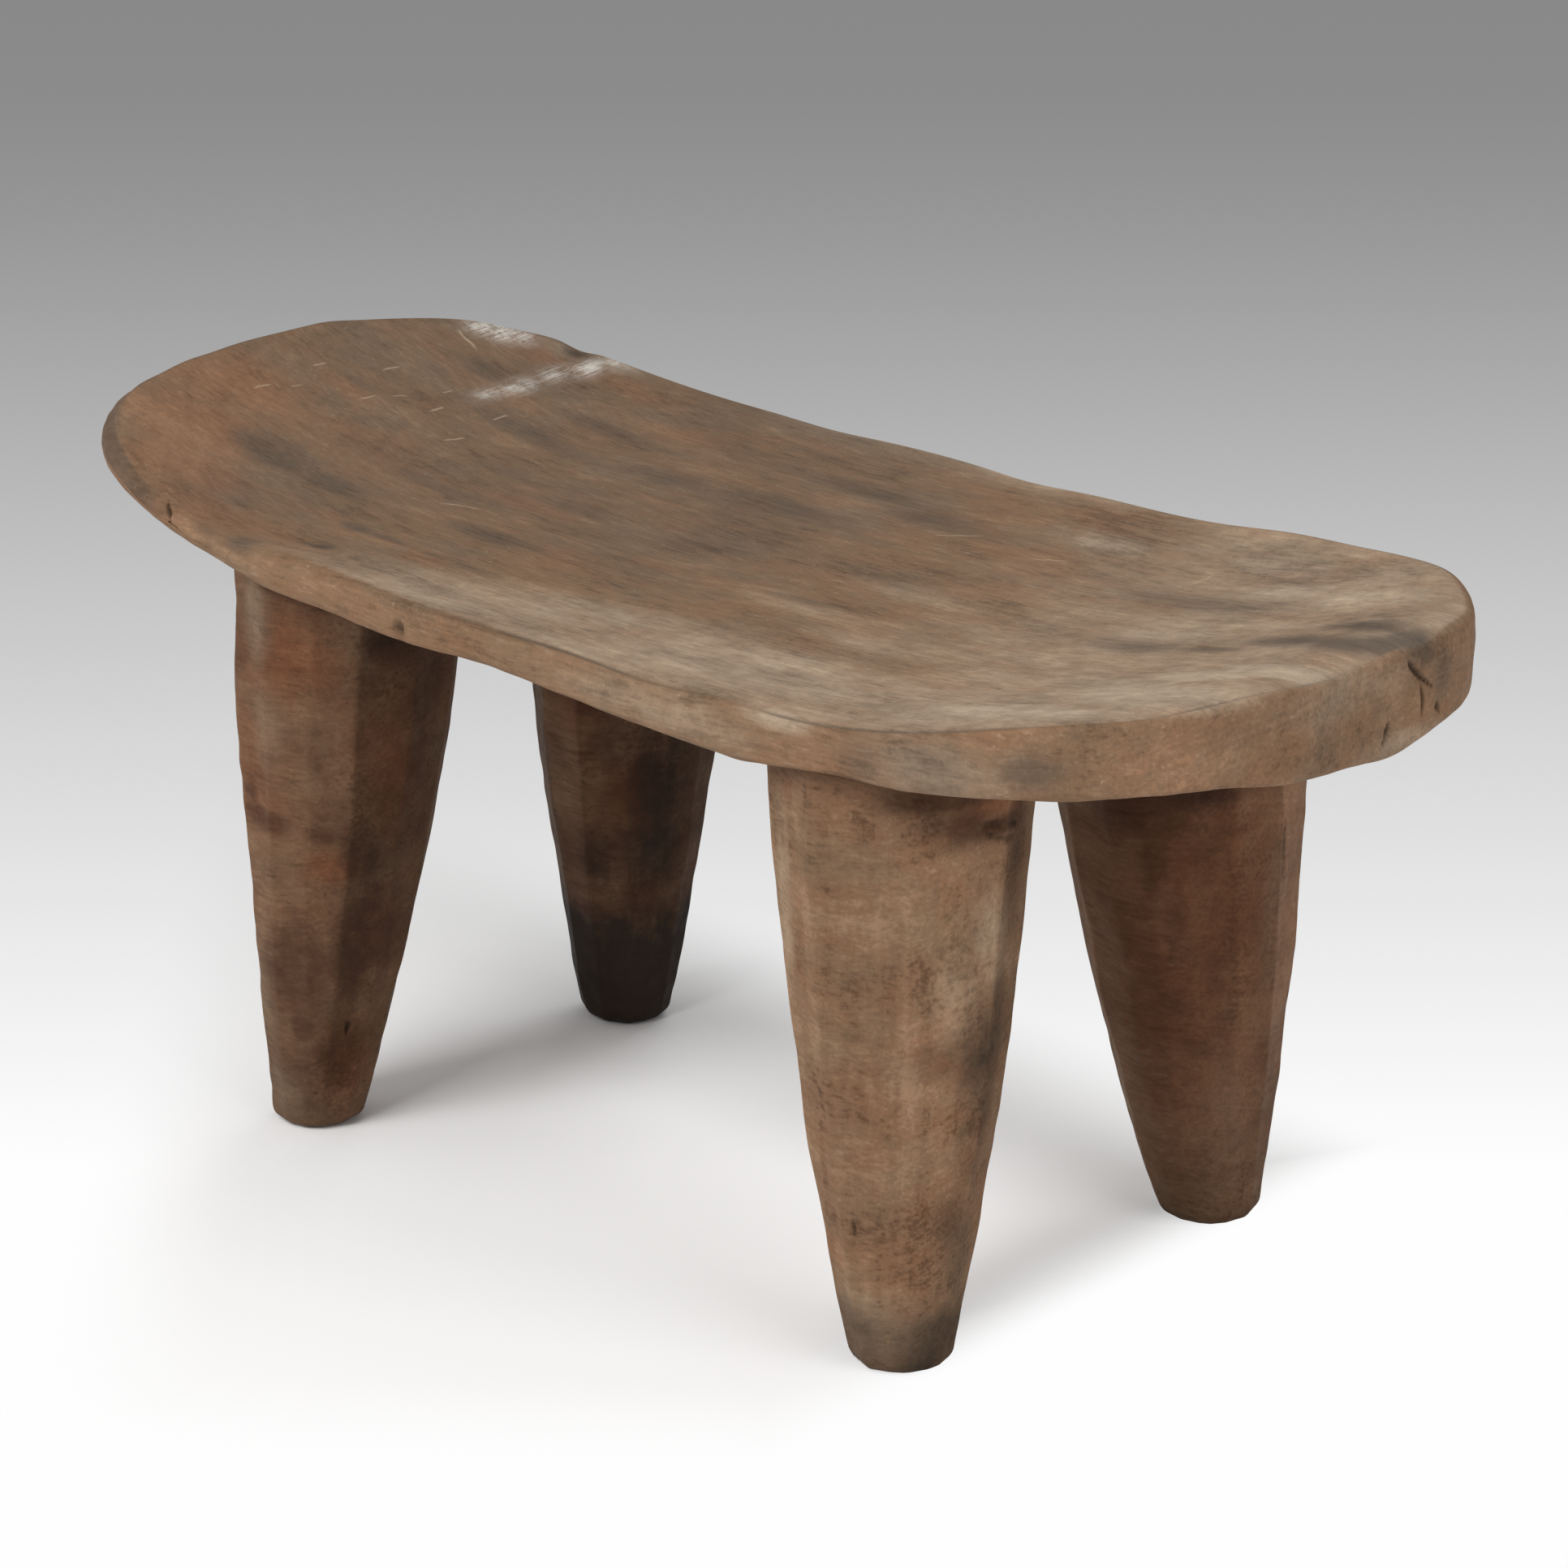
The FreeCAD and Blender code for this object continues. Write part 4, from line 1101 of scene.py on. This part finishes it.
def make_legs(wood):
    tree = leg_tree()
    for name, leg in LEGS.items():
        mesh = grow_leg(tree, "carved_" + name, leg, wood)
        points, normals = read_points(mesh), read_normals(mesh)
        masks = leg_masks(points, leg, LEG_MARKS[name])
        write_masks(mesh, masks)
        upright = 1 - smooth(0.5, 0.8, np.abs(normals[:, 2]))
        bumps = 0.0004 * waves(points, 0.05, leg["seed"] + 40)
        bumps += 0.00012 * waves(points, 0.014, leg["seed"] + 50)
        bumps += lumps(points, leg["swells"]) - LEG_SPLIT_DEPTH * masks["split"]
        write_points(mesh, points + normals * (upright * bumps)[:, None])
        add_piece("carved_" + name, mesh, name)


# Lamps: name, place, size and power, and the strength of the even light all round.
LAMPS = [
    ("front_light", (-0.2, -2.7, 2.6), 2.0, 95), ("left_light", (-2.6, -1.2, 1.2), 2.0, 6),
    ("right_light", (2.9, 0.0, 1.7), 2.2, 28), ("back_light", (-0.6, 2.4, 2.6), 2.2, 30),
]
LAMP_AIM = (0, 0, 0.2)
WORLD_LIGHT = 0.36
FLOOR_REACH = 20.0
# The camera's lens in millimetres, its place and the point that it looks at.
LENS = 121.12
CAMERA_PLACE = (1.5805, -1.7076, 1.0621)
CAMERA_AIM = (0.00415, 0.01406, 0.19396)
# The way along the floor that the camera looks, and the way to its right.
AHEAD = (-0.676, 0.737, 0.0)
ASIDE = (0.737, 0.676, 0.0)


def floor_material():
    """A pale matt floor that greys softly into the distance. Seen by the camera it glows with its own colour
    away from the stool's footprint, a painted light that wipes out the shadows there.
    """
    material = bpy.data.materials.new("pale_floor")
    material.use_nodes = True
    graph = Graph(material.node_tree)
    shader = material.node_tree.nodes["Principled BSDF"]
    place = graph.add("ShaderNodeTexCoord").outputs["Object"]
    away = graph.add("ShaderNodeVectorMath", [place, AHEAD], operation="DOT_PRODUCT").outputs["Value"]
    beside = graph.add("ShaderNodeVectorMath", [place, ASIDE], operation="DOT_PRODUCT").outputs["Value"]
    near = graph.minus(1.0, graph.over(graph.math("MAXIMUM", away, 0.0), 2.7), clamp=True)
    colour = graph.mix(graph.math("POWER", near, 2.2), (0.25, 0.25, 0.25, 1), (0.99, 0.99, 0.99, 1))
    x, y, _ = graph.split(place)
    # Where the floor glows for the camera, painting out shadows: behind, in front, to the right and to the
    # left of the stool's footprint.
    clear = graph.ease(y, 0.115, 0.24)
    sides = ((away, -0.22, -0.31), (x, 0.15, 0.215), (beside, 0.20, 0.34), (beside, -0.24, -0.33))
    for field, start, stop in sides:
        clear = graph.math("MAXIMUM", clear, graph.ease(field, start, stop))
    seen = graph.add("ShaderNodeLightPath").outputs["Is Camera Ray"]
    painted_light_glow = graph.times(clear, seen)
    graph.feed(shader.inputs["Base Color"], colour)
    plain = graph.add("ShaderNodeEmission", {"Color": colour, "Strength": 1.0})
    both = graph.add("ShaderNodeMixShader", [painted_light_glow, shader.outputs[0], plain.outputs[0]])
    graph.tree.links.new(both.outputs[0], material.node_tree.nodes["Material Output"].inputs["Surface"])
    shader.inputs["Roughness"].default_value = 0.9
    shader.inputs["Specular IOR Level"].default_value = 0.1
    return material


def point_at(holder, aim):
    """Turns a lamp or camera to a point and puts it in the scene."""
    holder.rotation_euler = (Vector(aim) - holder.location).to_track_quat("-Z", "Y").to_euler()
    bpy.context.scene.collection.objects.link(holder)


def make_stage():
    """A plain pale floor, and soft light from the front, both sides and above behind."""
    reach = FLOOR_REACH
    corners = [(-reach, -reach, 0), (reach, -reach, 0), (reach, reach, 0), (-reach, reach, 0)]
    floor_mesh = bpy.data.meshes.new("floor")
    floor_mesh.from_pydata(corners, [], [(0, 1, 2, 3)])
    floor_mesh.materials.append(floor_material())
    floor = bpy.data.objects.new("floor", floor_mesh)
    bpy.context.scene.collection.objects.link(floor)
    for name, place, size, power in LAMPS:
        lamp = bpy.data.lights.new(name, "AREA")
        lamp.size = size
        lamp.energy = power
        holder = bpy.data.objects.new(name, lamp)
        holder.location = place
        point_at(holder, LAMP_AIM)
    world = bpy.data.worlds.new("studio")
    world.use_nodes = True
    world.node_tree.nodes["Background"].inputs["Color"].default_value = (1, 1, 1, 1)
    world.node_tree.nodes["Background"].inputs["Strength"].default_value = WORLD_LIGHT
    bpy.context.scene.world = world


def make_camera():
    camera = bpy.data.cameras.new("camera")
    camera.lens = LENS
    camera.sensor_width = 36
    holder = bpy.data.objects.new("camera", camera)
    holder.location = CAMERA_PLACE
    point_at(holder, CAMERA_AIM)
    bpy.context.scene.camera = holder


bpy.context.scene.view_settings.view_transform = "Standard"
make_camera()
make_stage()
aged = aged_group(grain_group())
make_seat(aged_wood("seat_wood", aged, SEAT_COLOURS, SEAT_RELIEF, scratched))
make_legs(aged_wood("leg_wood", aged, LEG_COLOURS, LEG_RELIEF))
